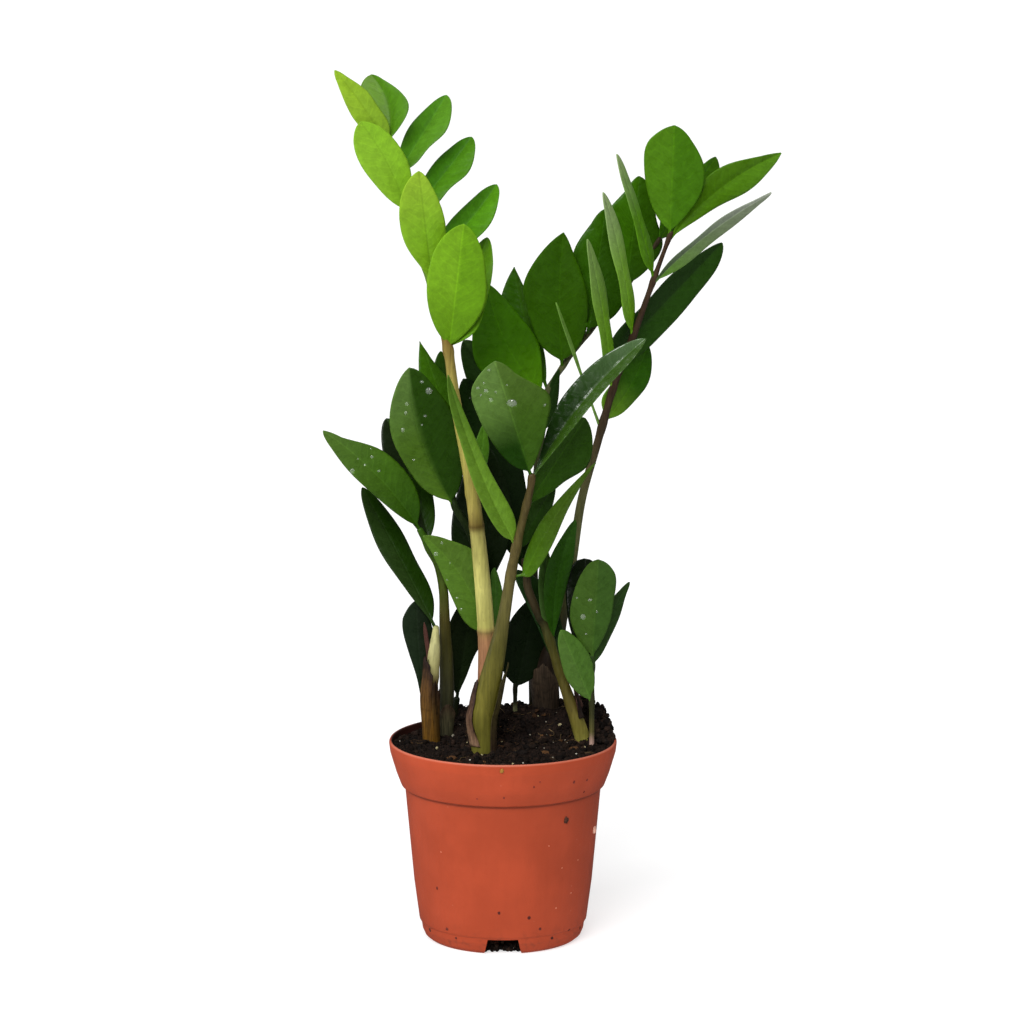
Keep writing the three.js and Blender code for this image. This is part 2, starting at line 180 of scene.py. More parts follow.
add_frond(
    "frond_tall_left", "new_foliage",
    [(-10, 3, 105, 4.6), (-9, 3, 133, 4.6), (-9, 2, 166, 4.5), (-13, -1, 215, 4), (-18, -3, 252, 3.3),
     (-25, -5, 290, 2.9), (-29, -7, 319, 2.4), (-38, -8, 353, 2), (-51, -8, 392, 1.5), (-60, -8, 424, 1)],
    [(100, (112, 74, 50)), (140, (166, 114, 82)), (160, (176, 128, 88)), (164, (168, 132, 82)),
     (168, (188, 182, 98)), (188, (216, 210, 120)), (207, (176, 170, 93)), (218, (172, 164, 90)),
     (222, (112, 92, 40)), (230, (174, 158, 80)), (262, (190, 180, 90)), (300, (168, 154, 76)),
     (322, (138, 114, 55)), (350, (120, 160, 50)), (430, (130, 175, 50))],
    [165, 221.5],
    leaflet(315, (-20, -26, 384), (7, 14.5, 15.5, 10.5), (7, 16, 15, 9.5), (124, 177, 24), (105, 157, 8),
            fold=10, root=(97, 146, 6), rib=1.2),
    leaflet(346, (-43, -24, 411), (2.5, 11, 13.5, 9.5), (4.5, 10, 10, 5.5), (132, 184, 32), (126, 178, 28),
            turn=8, fold=10, end=(154, 194, 48), rib=0.86),
    leaflet(387, (-73, -20, 436), (5, 11, 13, 9), (4.5, 9.5, 9.5, 6.5), (142, 194, 44), (138, 192, 38),
            turn=10, fold=8, sway=3, rib=0.92),
    leaflet(420, (-86, -16, 462), (2.5, 7.5, 7, 3.5), (5, 6.5, 6, 2.5), (146, 187, 44), (142, 184, 44),
            turn=15, sway=2, end=(153, 194, 44), rib=0.95),
    leaflet(315, (-8, 10, 373), (4, 10, 11, 6.5), (10, 14.5, 12, 7), (88, 140, 8), (93, 145, 11), turn=-45),
    leaflet(360, (-3, 16, 400), (3.5, 9.5, 9.5, 6.5), (4, 10, 11, 6.5), (64, 122, 2), (84, 147, 5),
            turn=-40, sway=2),
    leaflet(386, (-16, 14, 425), (3.5, 9, 9.5, 6.5), (6, 8.5, 11, 7), (62, 122, 2), (78, 136, 8), turn=-40,
            sway=1),
    leaflet(406, (-29, 12, 447), (4.5, 9.5, 10, 5.5), (4.5, 8, 11.5, 7.5), (70, 128, 8), (86, 142, 21),
            turn=-40),
    leaflet(423, (-68, 8, 458), (4.5, 11.5, 11, 9), (6, 12.5, 9.5, 4), (101, 146, 33), (82, 137, 10),
            turn=-10, fold=20, sway=5, rib=0.9),
    leaflet(239, (-10, 6, 275), (1.9, 4.2, 4.4, 2.4), (1.9, 4.2, 4.4, 2.4), (80, 128, 26), (80, 128, 26),
            turn=20, sway=1),
)
add_frond(
    "frond_front", "fresh_foliage",
    [(-10.5, -18, 104, 6.2), (-11.5, -18, 121, 7.2), (-9, -18, 132, 6.8), (-3, -19, 159, 4.6),
     (0.2, -20, 175, 3.4), (4.7, -23, 203, 2.6), (9, -27, 224, 2.1), (14, -32, 246, 1.9),
     (15, -33, 254, 1.4)],
    [(98, (74, 56, 24)), (106, (116, 112, 44)), (130, (112, 106, 38)), (160, (92, 88, 34)),
     (186, (102, 96, 50)), (206, (100, 88, 48)), (222, (94, 84, 44)), (256, (80, 66, 38))],
    [205],
    # painted shade at this leaf's root and painted sheen at its end
    leaflet(253, (-4, -48, 316), (7.5, 14.5, 17.5, 15), (6, 16.5, 22.5, 8.5), (92, 126, 50), (62, 94, 18),
            fold=14, root=[(26, 60, 1), (54, 88, 14)], reach=0.74, end=[(100, 134, 62), (80, 110, 40)],
            rib=1.3),
    # painted highlight in this leaf's pale left end
    leaflet(251, (74, -22, 324), (3, 10, 10.5, 6.5), (5, 10, 11, 8), (26, 56, 5), (58, 92, 22), turn=-38,
            fold=35, sway=-5, end=[(88, 118, 72), (62, 94, 32)], wet=1),
    leaflet(215, (-28, -42, 308), (6, 7, 5, 4), (7.3, 6, 4.2, 2), (100, 139, 38), (108, 150, 42), turn=35,
            fold=6, sway=-3, heel=0.35, end=(80, 116, 34)),
    leaflet(199, (48, -34, 261), (4.7, 6.2, 3.6, 1.5), (5.8, 7.6, 4.2, 1.5), (56, 84, 12), (58, 84, 18),
            turn=-35, fold=6, sway=-3.5, foot=(6, 0, -4), heel=0.4, root=(72, 112, 18)),
    leaflet(237, (43, -12, 281), (4.6, 11.6, 12.7, 8), (4.5, 11, 17.5, 11.5), (44, 80, 5), (44, 80, 8),
            turn=32, fold=8, rib=1.3),
    leaflet(212, (27, -13, 246), (3, 6.5, 6, 3.5), (3, 6.5, 6.5, 3.5), (36, 64, 12), (32, 60, 9), turn=20),
)
add_frond(
    "frond_tall_right", "mature_foliage",
    [(23.5, 42, 114, 6.9), (22.6, 41, 130, 7.3), (25, 40, 143, 6.1), (29, 39, 153, 4), (33, 38, 174, 3),
     (37, 36, 197, 2.6), (42, 34, 230, 2.3), (50, 31, 260, 2.1), (59, 27, 293, 1.9), (69, 24, 320, 1.75),
     (80, 19, 352, 1.3), (88, 15, 375, 0.95)],
    [(100, (42, 32, 24)), (150, (46, 36, 26)), (190, (108, 112, 64)), (230, (104, 104, 62)),
     (262, (72, 60, 40)), (300, (60, 42, 30)), (376, (76, 58, 42))],
    [],
    leaflet(373, (89, 5, 432), (6, 13, 15.5, 13), (6, 16, 17, 9.5), (81, 132, 11), (66, 116, 3), fold=12),
    leaflet(370, (145, 12, 417), (3.5, 10, 10, 4), (2.5, 7, 10.5, 6), (76, 122, 9), (86, 136, 18), turn=22,
            fold=7, sway=-5, blunt=0.8),
    # painted sheen: this leaf's grey colours and pale end
    leaflet(347, (139, -5, 398), (3, 4.2, 5.2, 2), (6, 9, 9, 4), (116, 132, 106), (118, 140, 94), turn=50,
            fold=2, sway=-3, pale=True, root=[(66, 90, 50), (100, 150, 40)],
            end=[(160, 166, 152), (140, 150, 128)], rib=1.5),
    leaflet(302, (116, 38, 367), (8.8, 10, 11, 6), (8, 11.5, 10.8, 7.7), (32, 60, 16), (38, 74, 10),
            turn=25, fold=10, foot=(-10, 3, -2)),
    leaflet(272, (77, 44, 312), (9, 11, 11, 7), (4, 8, 9.5, 6.5), (46, 92, 1), (42, 88, 1), turn=30,
            sway=3, root=(104, 150, 30)),
    leaflet(289, (44, 2, 373), (4.6, 6.3, 7.4, 4), (4.6, 6.3, 7.4, 4), (112, 160, 42), (108, 158, 32),
            turn=58, sway=1.8, pale=True, end=(130, 160, 90), root=(92, 146, 12)),
    leaflet(318, (52, -4, 398), (5.5, 6.3, 7, 4.2), (5.5, 6.3, 7, 4.2), (124, 172, 56), (118, 166, 48),
            turn=58, sway=2.2, pale=True, end=(156, 178, 124), root=(98, 152, 14)),
    leaflet(350, (59, -6, 418), (5.5, 5.4, 5, 3.2), (6.5, 5.4, 5, 3.2), (92, 146, 20), (86, 140, 14),
            turn=60, sway=1, pale=True, end=(146, 170, 112), root=(82, 136, 6)),
    leaflet(268, (28, 24, 337), (0.5, 0.9, 1.8, 1.3), (0.5, 0.9, 1.8, 1.3), (110, 150, 64), (104, 144, 56),
            turn=60, pale=True),
)
add_frond(
    "frond_back_right", "mature_foliage",
    [(16.5, 49, 114, 2.5), (16, 51, 162, 2.5), (17, 52, 216, 2.4), (20, 52, 260, 2.1), (23, 51, 283, 1.6),
     (33, 49, 301, 1.4), (45, 47, 317, 1.3), (65, 44, 342, 1.1), (83, 40, 369, 0.9)],
    [(100, (36, 32, 20)), (240, (50, 56, 30)), (290, (78, 82, 48)), (310, (96, 100, 62)),
     (330, (66, 54, 36)), (370, (62, 52, 34))],
    [],
    leaflet(283, (-8, 30, 346), (6, 18.5, 16.5, 8), (6, 15.5, 13.5, 6.5), (64, 118, 0), (62, 114, 0),
            fold=8, sway=-6, blunt=0.75, root=(84, 140, 1)),
    leaflet(286, (6, 64, 351), (4, 10, 14, 7), (3, 6, 6, 2.5), (52, 98, 2), (50, 90, 2), turn=-10, sway=-2,
            blunt=0.9),
    leaflet(299, (32, 33, 373), (9, 17, 19.5, 10), (9, 16, 13.5, 5.5), (54, 98, 0), (54, 96, 1), fold=10,
            sway=-2, blunt=0.8, foot=(0, -3, 0)),
    leaflet(317, (54, 46, 384), (5, 10.5, 13.5, 6), (11, 17.5, 13, 8.5), (52, 98, 3), (44, 84, 2), turn=5,
            foot=(0, -6.5, 0)),
    leaflet(342, (72, 42, 402), (4.5, 11.5, 15, 5.5), (8, 17, 12, 8), (56, 104, 2), (46, 86, 2), turn=10,
            foot=(0, -8, 0)),
    leaflet(366, (113, 54, 411), (4, 10, 9, 3.5), (4, 10, 11, 8), (56, 104, 3), (54, 96, 3), turn=20),
    leaflet(180, (-21, 34, 295), (5.5, 13, 14, 8), (5.5, 13, 16, 11.5), (24, 46, 12), (20, 38, 10),
            turn=15),
    leaflet(252, (-21, 38, 315), (4.4, 10.5, 11.5, 7), (4.4, 10.5, 11.5, 7), (40, 68, 22), (62, 92, 42),
            turn=10),
    leaflet(262, (30, 48, 298), (2.5, 4, 3, 2), (3, 4.5, 3.5, 1.5), (30, 56, 14), (26, 50, 12)),
)
add_frond(
    "frond_left", "fresh_foliage",
    [(-31, 20, 107, 3.9), (-30, 20, 133, 3.9), (-31, 19, 166, 2.9), (-31.6, 18, 183, 2.5),
     (-33.8, 17, 197, 2.7), (-38, 16, 206, 2.8), (-44, 14, 217, 1.3)],
    [(100, (52, 54, 38)), (130, (66, 66, 42)), (150, (72, 70, 32)), (168, (78, 72, 30)),
     (190, (66, 84, 22)), (218, (54, 92, 14))],
    [148],
    leaflet(216, (-94, -4, 273), (4, 8.5, 9.5, 5.5), (8, 13, 11, 3), (68, 103, 27), (66, 106, 16), turn=15,
            fold=14, sway=4, end=(86, 120, 46), root=(42, 78, 4)),
    leaflet(207, (-62, 32, 274), (4.5, 11, 11, 7), (5, 9.5, 12.5, 7.5), (28, 40, 18), (34, 62, 8), turn=20,
            sway=2),
)
add_frond(
    "frond_far_left", "dark_foliage",
    [(-38, 7, 104, 4.1), (-39, 8, 126, 4.1), (-37.5, 8, 141, 3.6), (-36.5, 9, 151, 3.4),
     (-36, 9.5, 158, 2.5), (-35.5, 10, 165, 1.3)],
    [(98, (62, 46, 10)), (118, (86, 60, 16)), (136, (92, 72, 36)), (142, (168, 162, 104)),
     (156, (194, 190, 132)), (164, (196, 192, 130)), (168, (120, 132, 60))],
    [],
    leaflet(164, (-75, 30, 237), (2.5, 7, 8.5, 5), (6, 8.5, 8.5, 5.5), (37, 59, 19), (26, 52, 4), turn=35,
            sway=0.5),
    leaflet(110, (-46, 14, 179), (1.5, 2.5, 6, 7.5), (3.5, 9, 10, 6), (28, 42, 24), (24, 36, 20), turn=10,
            sway=-2),
    leaflet(138, (-41.8, 9, 168), (1.3, 1.3, 1.2, 1), (1.3, 1.3, 1.2, 1), (84, 54, 46), (72, 44, 38)),
)
add_frond(
    "frond_middle", "mature_foliage",
    [(-5, 20, 111, 2.8), (-9, 19, 157, 2.6), (-11, 18, 190, 2.4), (-17, 16, 214, 2.2), (-25, 13, 229, 1.8),
     (-28, 15, 242, 1.2)],
    [(100, (34, 36, 18)), (242, (32, 48, 16))],
    [],
    leaflet(157, (-42, 8, 215), (7, 10.5, 8, 3.5), (5, 12, 15, 8), (88, 126, 37), (84, 118, 35), fold=8,
            sway=6),
    leaflet(229, (-49, -2, 306), (7.5, 13, 15, 9.5), (10, 22, 22, 12), (74, 108, 28), (34, 66, 1), fold=18,
            sway=-6, end=[(100, 134, 64), (38, 70, 4)]),
    leaflet(239, (-44, 26, 316), (4.5, 11, 9.5, 4.5), (4.5, 10.5, 10, 2.5), (62, 108, 8), (56, 98, 6),
            turn=20, sway=4, blunt=1.0),
    leaflet(237, (-33, 32, 310), (3.5, 9, 9.5, 5), (3.5, 9, 9.5, 5), (48, 86, 14), (42, 76, 10), turn=25),
    # painted shade: this leaf at the back is coloured near-black
    leaflet(170, (-9, 27, 260), (9, 18, 17, 10), (2, 12, 14, 8), (21, 36, 11), (18, 32, 9), turn=-10),
    leaflet(150, (-4.5, 12, 197), (3, 5, 5, 3), (3, 5, 4.5, 2.5), (60, 100, 30), (60, 100, 30), turn=-20,
            sway=2),
)
add_frond(
    "frond_low_right", "fresh_foliage",
    [(42.2, 3, 105, 4.3), (36, 3, 125, 3.3), (30.5, 3, 141, 2.6), (23, 3, 165, 2.3), (19, 3, 173, 2.3),
     (13.5, 2, 187, 2.2), (12.5, 2, 195, 2), (11, 2, 203, 1.5)],
    [(98, (150, 148, 70)), (112, (136, 128, 56)), (124, (112, 100, 46)), (146, (100, 94, 40)),
     (164, (72, 72, 32)), (172, (52, 48, 28)), (178, (66, 56, 34)), (190, (82, 70, 46)),
     (196, (50, 42, 26))],
    [147, 171],
    leaflet(158, (38, -6, 226), (3, 7, 7.2, 4), (2.6, 6.5, 7.5, 4), (40, 80, 9), (46, 88, 16), turn=30,
            sway=-4, foot=(1.5, 0, 0)),
    leaflet(161, (22.5, 2, 210), (2.5, 5, 5, 3), (2.2, 4.5, 4.5, 2.5), (66, 98, 40), (58, 88, 32), turn=30),
    leaflet(142, (6, 16, 195), (3, 5, 5, 3.5), (4, 8, 9, 7), (32, 62, 22), (28, 54, 16), turn=20, sway=4),
)
add_frond(
    "shoot_right", "mature_foliage",
    [(47, -5, 105, 1.3), (47, -4, 127, 1.4), (47, -3, 146, 1.3), (47, -3, 152, 1.1)],
    [(100, (206, 176, 162)), (107, (200, 164, 148)), (111, (104, 98, 54)), (120, (62, 62, 32)),
     (136, (40, 46, 22)), (152, (44, 66, 26))],
    [],
    leaflet(127, (30.5, -16, 169), (3.7, 7.6, 6.8, 4.6), (4.5, 9.6, 8.8, 5), (84, 120, 46), (76, 114, 38),
            turn=25),
    leaflet(150, (50, -12, 206), (6, 13, 12.5, 8), (3.5, 8.5, 10, 9.5), (66, 98, 30), (56, 88, 28),
            fold=10, blunt=0.5),
    leaflet(146, (67, 8, 190), (2.2, 5.5, 6.2, 3), (3.4, 6.2, 5.8, 2.6), (42, 68, 24), (44, 72, 26),
            turn=35, sway=-2),
    # painted shade: this leaf behind the others is coloured near-black
    leaflet(145, (43, 12, 202), (5, 10.5, 11.5, 9), (4, 9, 10, 8), (13, 24, 6), (13, 24, 6), turn=15,
            blunt=0.42),
)
add_frond(
    "shoot_back", "dark_foliage",
    [(6.5, 34, 113, 1.3), (6.5, 34, 121, 1.1), (6.5, 34, 129, 1)],
    [(100, (150, 150, 110)), (115, (130, 130, 90)), (119, (40, 40, 24)), (130, (26, 32, 16))],
    [],
    leaflet(125, (18, 38, 176), (7.5, 13.5, 12, 7), (7, 14.5, 12, 7), (18, 32, 11), (18, 32, 11), turn=10),
)
add_frond(
    "shoot_back_left", "dark_foliage",
    [(-26, 38, 110, 1.8), (-25, 38, 120, 1.4)],
    [(100, (48, 48, 28)), (120, (28, 36, 18))],
    [],
    leaflet(119, (-17, 34, 177), (4, 10, 11, 7), (2, 6, 10.5, 7), (26, 38, 17), (28, 42, 18), turn=15),
)

# the dry sleeves round the stems: lowest and highest point, middle and half spread in degrees from +X,
# gap, flare at the top, colours from below, how far the top falls to its sides, and its raggedness
SHEATHS = {
    "frond_front": [
        (108, 144, 196, 64, 0.4, 0.9, ((134, 106, 82), (84, 60, 44), (50, 36, 32)), 26, 1.6),
        (103, 152, 350, 46, 0.9, 1.3, ((58, 42, 32), (66, 58, 30), (54, 50, 26)), 10, 1.0),
    ],
    "frond_far_left": [
        (101, 150, 205, 92, 0.5, 0.9, ((96, 66, 14), (88, 60, 20), (36, 24, 22)), 10, 1.8),
        (101, 137, 300, 66, 0.4, 0.6, ((84, 58, 14), (78, 56, 22), (42, 29, 23)), 8, 1.6),
    ],
    "frond_low_right": [(118, 141, 345, 52, 0.8, 2.0, ((38, 28, 22), (34, 24, 22), (84, 58, 50)), 18, 1.8)],
    "frond_tall_right": [
        (108, 140, 250, 100, 0.5, 0.6, ((40, 32, 24), (50, 40, 30), (62, 50, 38)), 10, 1.0),
    ],
    "frond_left": [(104, 122, 280, 90, 0.4, 0.5, ((60, 58, 40), (76, 72, 50), (60, 46, 34)), 6, 1.0)],
}

# picture places of the water drops, and their radii
DROP_SPOTS = [
    (407, 404, 1.1), (406, 413, 1.1), (403, 430, 1.2), (422, 382, 0.9), (429, 391, 1.9), (414, 460, 0.7),
    (372, 457, 0.9), (365, 465, 0.8), (379, 471, 0.8), (352, 471, 1.3), (512, 403, 2.3), (478, 388, 0.9),
    (486, 391, 1.1), (491, 400, 1.1), (481, 395, 0.7), (545, 405, 0.8), (436, 554, 1.2), (442, 543, 0.8),
    (457, 598, 0.7), (461, 609, 0.7), (583, 617, 1.7), (590, 600, 0.9), (597, 612, 0.7), (489, 370, 0.7),
    (425, 416, 0.8), (422, 425, 0.7), (484, 383, 0.6), (496, 392, 0.6), (371, 449, 0.5), (358, 459, 0.5),
    (450, 563, 0.6), (447, 580, 0.5), (577, 598, 0.6), (586, 634, 0.6), (470, 398, 0.5), (507, 385, 0.5),
]


def linear(colour):
    """A linear colour from one of 0 to 255 numbers as a screen shows it."""
    share = [value / 255 for value in colour]
    return tuple(v / 12.92 if v <= 0.04045 else ((v + 0.055) / 1.055) ** 2.4 for v in share)


# Meshes
class Shape:
    """Points, faces and values at the points, gathered until they become one mesh."""

    def __init__(self):
        self.points = []
        self.faces = []
        self.values = {}
        self.count = 0

    def add(self, points, faces, **values):
        points = np.asarray(points, dtype=float).reshape(-1, 3)
        self.points.append(points)
        for face in faces:
            self.faces.append([int(i) + self.count for i in face])
        for name, value in values.items():
            value = np.asarray(value, dtype=float)
            if value.ndim == 0 or (value.ndim == 1 and len(value) in (3, 4) and len(points) != len(value)):
                value = np.broadcast_to(value, (len(points),) + value.shape)
            self.values.setdefault(name, []).append(value)
        self.count += len(points)

    def build(self, name, material):
        mesh = bpy.data.meshes.new(name)
        mesh.from_pydata((np.concatenate(self.points) * MM).tolist(), [], self.faces)
        for key, parts in self.values.items():
            data = np.concatenate(parts)
            if data.ndim == 2:
                full = np.ones((len(data), 4))
                full[:, :3] = data[:, :3]
                layer = mesh.attributes.new(key, "FLOAT_COLOR", "POINT")
                layer.data.foreach_set("color", full.ravel())
            else:
                layer = mesh.attributes.new(key, "FLOAT", "POINT")
                layer.data.foreach_set("value", data.ravel())
        mesh.validate()
        mesh.shade_smooth()
        piece = bpy.data.objects.new(name, mesh)
        bpy.context.collection.objects.link(piece)
        mesh.materials.append(material)
        return piece


def ring_faces(rows, sides):
    """The faces of a closed tube of rows, each of so many points, with both its ends."""
    faces = []
    for i in range(rows - 1):
        for j in range(sides):
            k = (j + 1) % sides
            faces.append((i * sides + j, i * sides + k, (i + 1) * sides + k, (i + 1) * sides + j))
    faces.append(tuple(range(sides - 1, -1, -1)))
    faces.append(tuple(range((rows - 1) * sides, rows * sides)))
    return faces


def turned_faces(rows, sides):
    """The faces of rows of points round Z, with one point on the axis before them and one after them."""
    faces = [(0, 1 + (j + 1) % sides, 1 + j) for j in range(sides)]
    for i in range(rows - 1):
        for j in range(sides):
            a, b = 1 + i * sides + j, 1 + i * sides + (j + 1) % sides
            faces.append((a, b, b + sides, a + sides))
    last = 1 + rows * sides
    faces += [(last, last - sides + j, last - sides + (j + 1) % sides) for j in range(sides)]
    return faces


def circle(sides):
    """The angles of so many even steps round a circle."""
    return np.arange(sides) * 2 * math.pi / sides


def tube(centre, across, up, reach, angle):
    """Points round a middle line, at a reach given by row, or by row and side."""
    return (centre[:, None, :] + across[:, None, :] * (reach * np.cos(angle))[:, :, None]
            + up[:, None, :] * (reach * np.sin(angle))[:, :, None])


def unit(v):
    return v / np.linalg.norm(v, axis=-1, keepdims=True)


def spline(knots, share):
    """Place on, and slope of, the smooth curve through knots at shares 0 to 1 of it."""
    knots = np.asarray(knots, dtype=float)
    padded = np.vstack([2 * knots[0] - knots[1], knots, 2 * knots[-1] - knots[-2]])
    spans = len(knots) - 1
    at = np.clip(np.asarray(share, dtype=float), 0, 1) * spans
    index = np.minimum(at.astype(int), spans - 1)
    w = (at - index)[:, None]
    a, b, c, d = (padded[index + k] for k in range(4))
    start, end = (c - a) / 2, (d - b) / 2
    third = -3 * b + 3 * c - 2 * start - end
    fourth = 2 * b - 2 * c + start + end
    return b + start * w + third * w**2 + fourth * w**3, start + 2 * third * w + 3 * fourth * w**2


def stem_knots(stem):
    x, y, z, radius = stem[0]
    return [(x, y, z - STEM_DEPTH, radius)] + list(stem)


def stem_point(stem, height):
    """The place on the stem's middle line at a height."""
    low, high = 0.0, 1.0
    knots = stem_knots(stem)
    for _ in range(30):
        middle = (low + high) / 2
        if spline(knots, [middle])[0][0][2] < height:
            low = middle
        else:
            high = middle
    return spline(knots, [low])[0][0][:3]


def stem_frame(slope):
    along = unit(slope[:, :3])
    across = np.array([1.0, 0, 0]) - along * along[:, :1]
    across = unit(across)
    return along, across, np.cross(along, across)


def colours_at(heights, bark):
    levels = [z for z, _ in bark]
    table = np.array([linear(colour) for _, colour in bark])
    return np.stack([np.interp(heights, levels, table[:, k]) for k in range(3)], axis=1)


def add_stem(shape, frond, seed):
    """A tapering stem with raised rings at its joints and small swellings under its leaves."""
    stem = frond["stem"]
    knots = stem_knots(stem)
    length = sum(math.dist(a[:3], b[:3]) for a, b in zip(knots, knots[1:]))
    rows = int(length / STEM_ROW)
    cap = 4
    place, slope = spline(knots, np.linspace(0, 1, rows))
    along, across, up = stem_frame(slope)
    centre, radius = place[:, :3].copy(), place[:, 3].copy()
    for height in frond["rings"]:
        radius *= 1 + 0.09 * np.exp(-(((centre[:, 2] - height) / 1.5) ** 2))
    for leaf in frond["leaves"]:
        radius += 0.32 * np.exp(-(((centre[:, 2] - leaf["at"] - 1) / 3.2) ** 2)) * (radius < 5)
    turn = np.linspace(0, math.pi / 2, cap + 1)[1:]
    end = centre[-1] + along[-1] * (radius[-1] * np.sin(turn))[:, None] * 0.8
    centre = np.vstack([centre, end])
    radius = np.concatenate([radius, np.maximum(radius[-1] * np.cos(turn), 0.02)])
    across = np.vstack([across, np.repeat(across[-1:], cap, axis=0)])
    up = np.vstack([up, np.repeat(up[-1:], cap, axis=0)])
    angle = circle(STEM_SIDES)
    wobble = 1 + 0.018 * np.sin(angle * 3 + seed)[None, :] + 0.012 * np.sin(
        angle * 5 + centre[:, 2:] * 0.05 + seed * 2)
    points = tube(centre, across, up, radius[:, None] * wobble, angle)
    tint = colours_at(centre[:, 2], frond["bark"])
    for height in frond["rings"]:
        dark = 0.35 * np.exp(-(((centre[:, 2] - height) / 0.9) ** 2))
        tint *= (1 - dark)[:, None]
    tint = np.repeat(tint, STEM_SIDES, axis=0)
    shape.add(points, ring_faces(len(centre), STEM_SIDES), tint=tint * BARK_ALBEDO)


def half_width(t, widths, heel, blunt):
    """Half the blade's width, from its widths at LEAF_STATIONS and a curve that closes both ends."""
    def close(share):
        s = np.clip((share - BLADE_START) / (1 - BLADE_START), 0, 1)
        return s**heel * (1 - s) ** blunt

    stations = np.array(LEAF_STATIONS)
    fullness = (np.array(widths) / close(stations))[:, None]
    place = np.interp(t, stations, np.linspace(0, 1, len(stations)))
    blade = spline(fullness, place)[0][:, 0] * close(t)
    return np.maximum(blade, np.where(t < 0.5, STALK_HALF_WIDTH, TIP_HALF_WIDTH))


def add_leaf(shape, stem, leaf, draw):
    """A leaflet: one closed blade with a folded, slightly waved face, a midrib and a short stalk."""
    turn, fold = math.radians(leaf.get("turn", 0)), math.radians(leaf.get("fold", 0) + 3)
    root, end = stem_point(stem, leaf["at"]), np.array(leaf["tip"], dtype=float)
    length = np.linalg.norm(end - root)
    along = (end - root) / length
    front = unit(np.array([0, -1.0, 0]) + along * along[1])
    right = np.cross(along, front)
    face = front * math.cos(turn) + right * math.sin(turn)
    side = right * math.cos(turn) - front * math.sin(turn)
    # t runs from root to tip and c from the left edge to the right one, closer together at the ends
    even, wide = np.linspace(0, 1, LEAF_ROWS), np.linspace(-1, 1, LEAF_COLUMNS)
    t = (1 - np.cos(even * math.pi)) / 2 * 0.55 + even * 0.45
    c = np.sin(wide * math.pi / 2) * 0.35 + wide * 0.65
    bend = 4 * t * (1 - t)
    rib = root + np.outer(t, end - root) + np.outer(bend * leaf.get("sway", 0), right)
    rib += np.outer((1 - t) * np.clip(t / 0.07, 0, 1), leaf.get("foot", (0, 0, 0)))
    ends = leaf.get("heel", HEEL), leaf.get("blunt", BLUNT)
    halves = [half_width(t, leaf[name], *ends) for name in ("left", "right")]
    width = max(leaf["left"] + leaf["right"]) * 2
    thick = STALK_THICKNESS + (BLADE_THICKNESS - STALK_THICKNESS) * np.minimum(t / 0.16, 1)
    round_power = 2 + 6 * np.minimum(t / 0.2, 1)
    blade = np.clip((t - 0.05) / 0.2, 0, 1) * np.clip((1.02 - t) / 0.2, 0, 1)
    waves, phase = draw.uniform(1.6, 2.6), draw.uniform(0, 6.28)
    size = width * 0.018 * draw.uniform(0.7, 1.3)
    twist = draw.uniform(-0.06, 0.06)
    points, across, under, rim, rear = [], [], [], [], []
    for i in range(LEAF_ROWS):
        spin = twist * (t[i] - 0.3)
        here = side * math.cos(spin) + face * math.sin(spin)
        out = face * math.cos(spin) - side * math.sin(spin)
        half = np.where(c < 0, halves[0][i], halves[1][i])
        lift = half * math.sin(fold) * (np.sqrt(c**2 + 0.015) - 0.122)
        lift -= half * 0.07 * c**2 * blade[i]
        wave = np.sin(waves * 2 * math.pi * t[i] + phase + np.where(c > 0, 1.7, 0))
        lift += size * blade[i] * c**2 * wave
        edge = rib[i] + np.outer(c * half * math.cos(fold), here) + np.outer(lift, out)
        body = thick[i] / 2 * np.sqrt(np.maximum(1 - np.abs(c) ** round_power[i], 0))
        crest = np.exp(-((c * half / 0.9) ** 2)) * blade[i]
        top = edge + np.outer(body - 0.22 * crest, out)
        back = edge - np.outer(body + 0.42 * crest * (1 - 0.6 * t[i]), out)
        points += [top, back[-2:0:-1]]
        reach = c * half
        across += [reach, reach[-2:0:-1]]
        flip = 1.0 if leaf.get("pale") else 0.0
        level = np.full(LEAF_COLUMNS, flip)
        level[[0, -1]] = 0.5
        under += [level, np.full(LEAF_COLUMNS - 2, 1 - flip)]
        rim += [np.abs(c), np.abs(c[-2:0:-1])]
        rear += [np.zeros(LEAF_COLUMNS), np.ones(LEAF_COLUMNS - 2)]
    sides = 2 * LEAF_COLUMNS - 2
    run, across = np.repeat(t, sides), np.concatenate(across)
    tint = leaf_tint(leaf, run, across, np.concatenate(rear))
    shape.add(np.concatenate(points), ring_faces(LEAF_ROWS, sides), tint=tint, across=across,
              along=run * length, under=np.concatenate(under), rim=np.concatenate(rim),
              rib=np.full(len(run), leaf.get("rib", MIDRIB)), wet=np.full(len(run), leaf.get("wet", 0.0)))


def leaf_tint(leaf, run, across, back):
    """The leaf's colour at each point: its halves, one often painted lit and the other painted shaded,
    blended into the colours of its root and end, which paint shade near the base and sheen and highlights
    towards the tip of some leaves.
    """
    left, right = (np.array(linear(colour)) for colour in leaf["look"])
    side = np.clip(across / 1.6 + 0.5, 0, 1)[:, None]
    tint = left * (1 - side) + right * side
    run = run[:, None]
    near = np.clip((leaf.get("reach", 0.55) - run) / 0.45, 0, 1) ** 1.2
    far = np.clip((run - 0.5) / 0.5, 0, 1)
    for name, share in (("root", near), ("end", far)):
        if name in leaf:
            pair = leaf[name] if isinstance(leaf[name], list) else [leaf[name]] * 2
            other = np.array(linear(pair[0])) * (1 - side) + np.array(linear(pair[1])) * side
            tint = tint * (1 - share) + other * share
    other = tint * np.array(UPPER_TONE) if leaf.get("pale") else tint * 0.85 + np.array(UNDER_TONE)
    return (tint * (1 - back[:, None]) + other * back[:, None]) * LEAF_ALBEDO


def tumble(draw):
    """A random turn in space."""
    return Vector([draw.gauss(0, 1) for _ in range(3)]).to_track_quat("X", "Y")


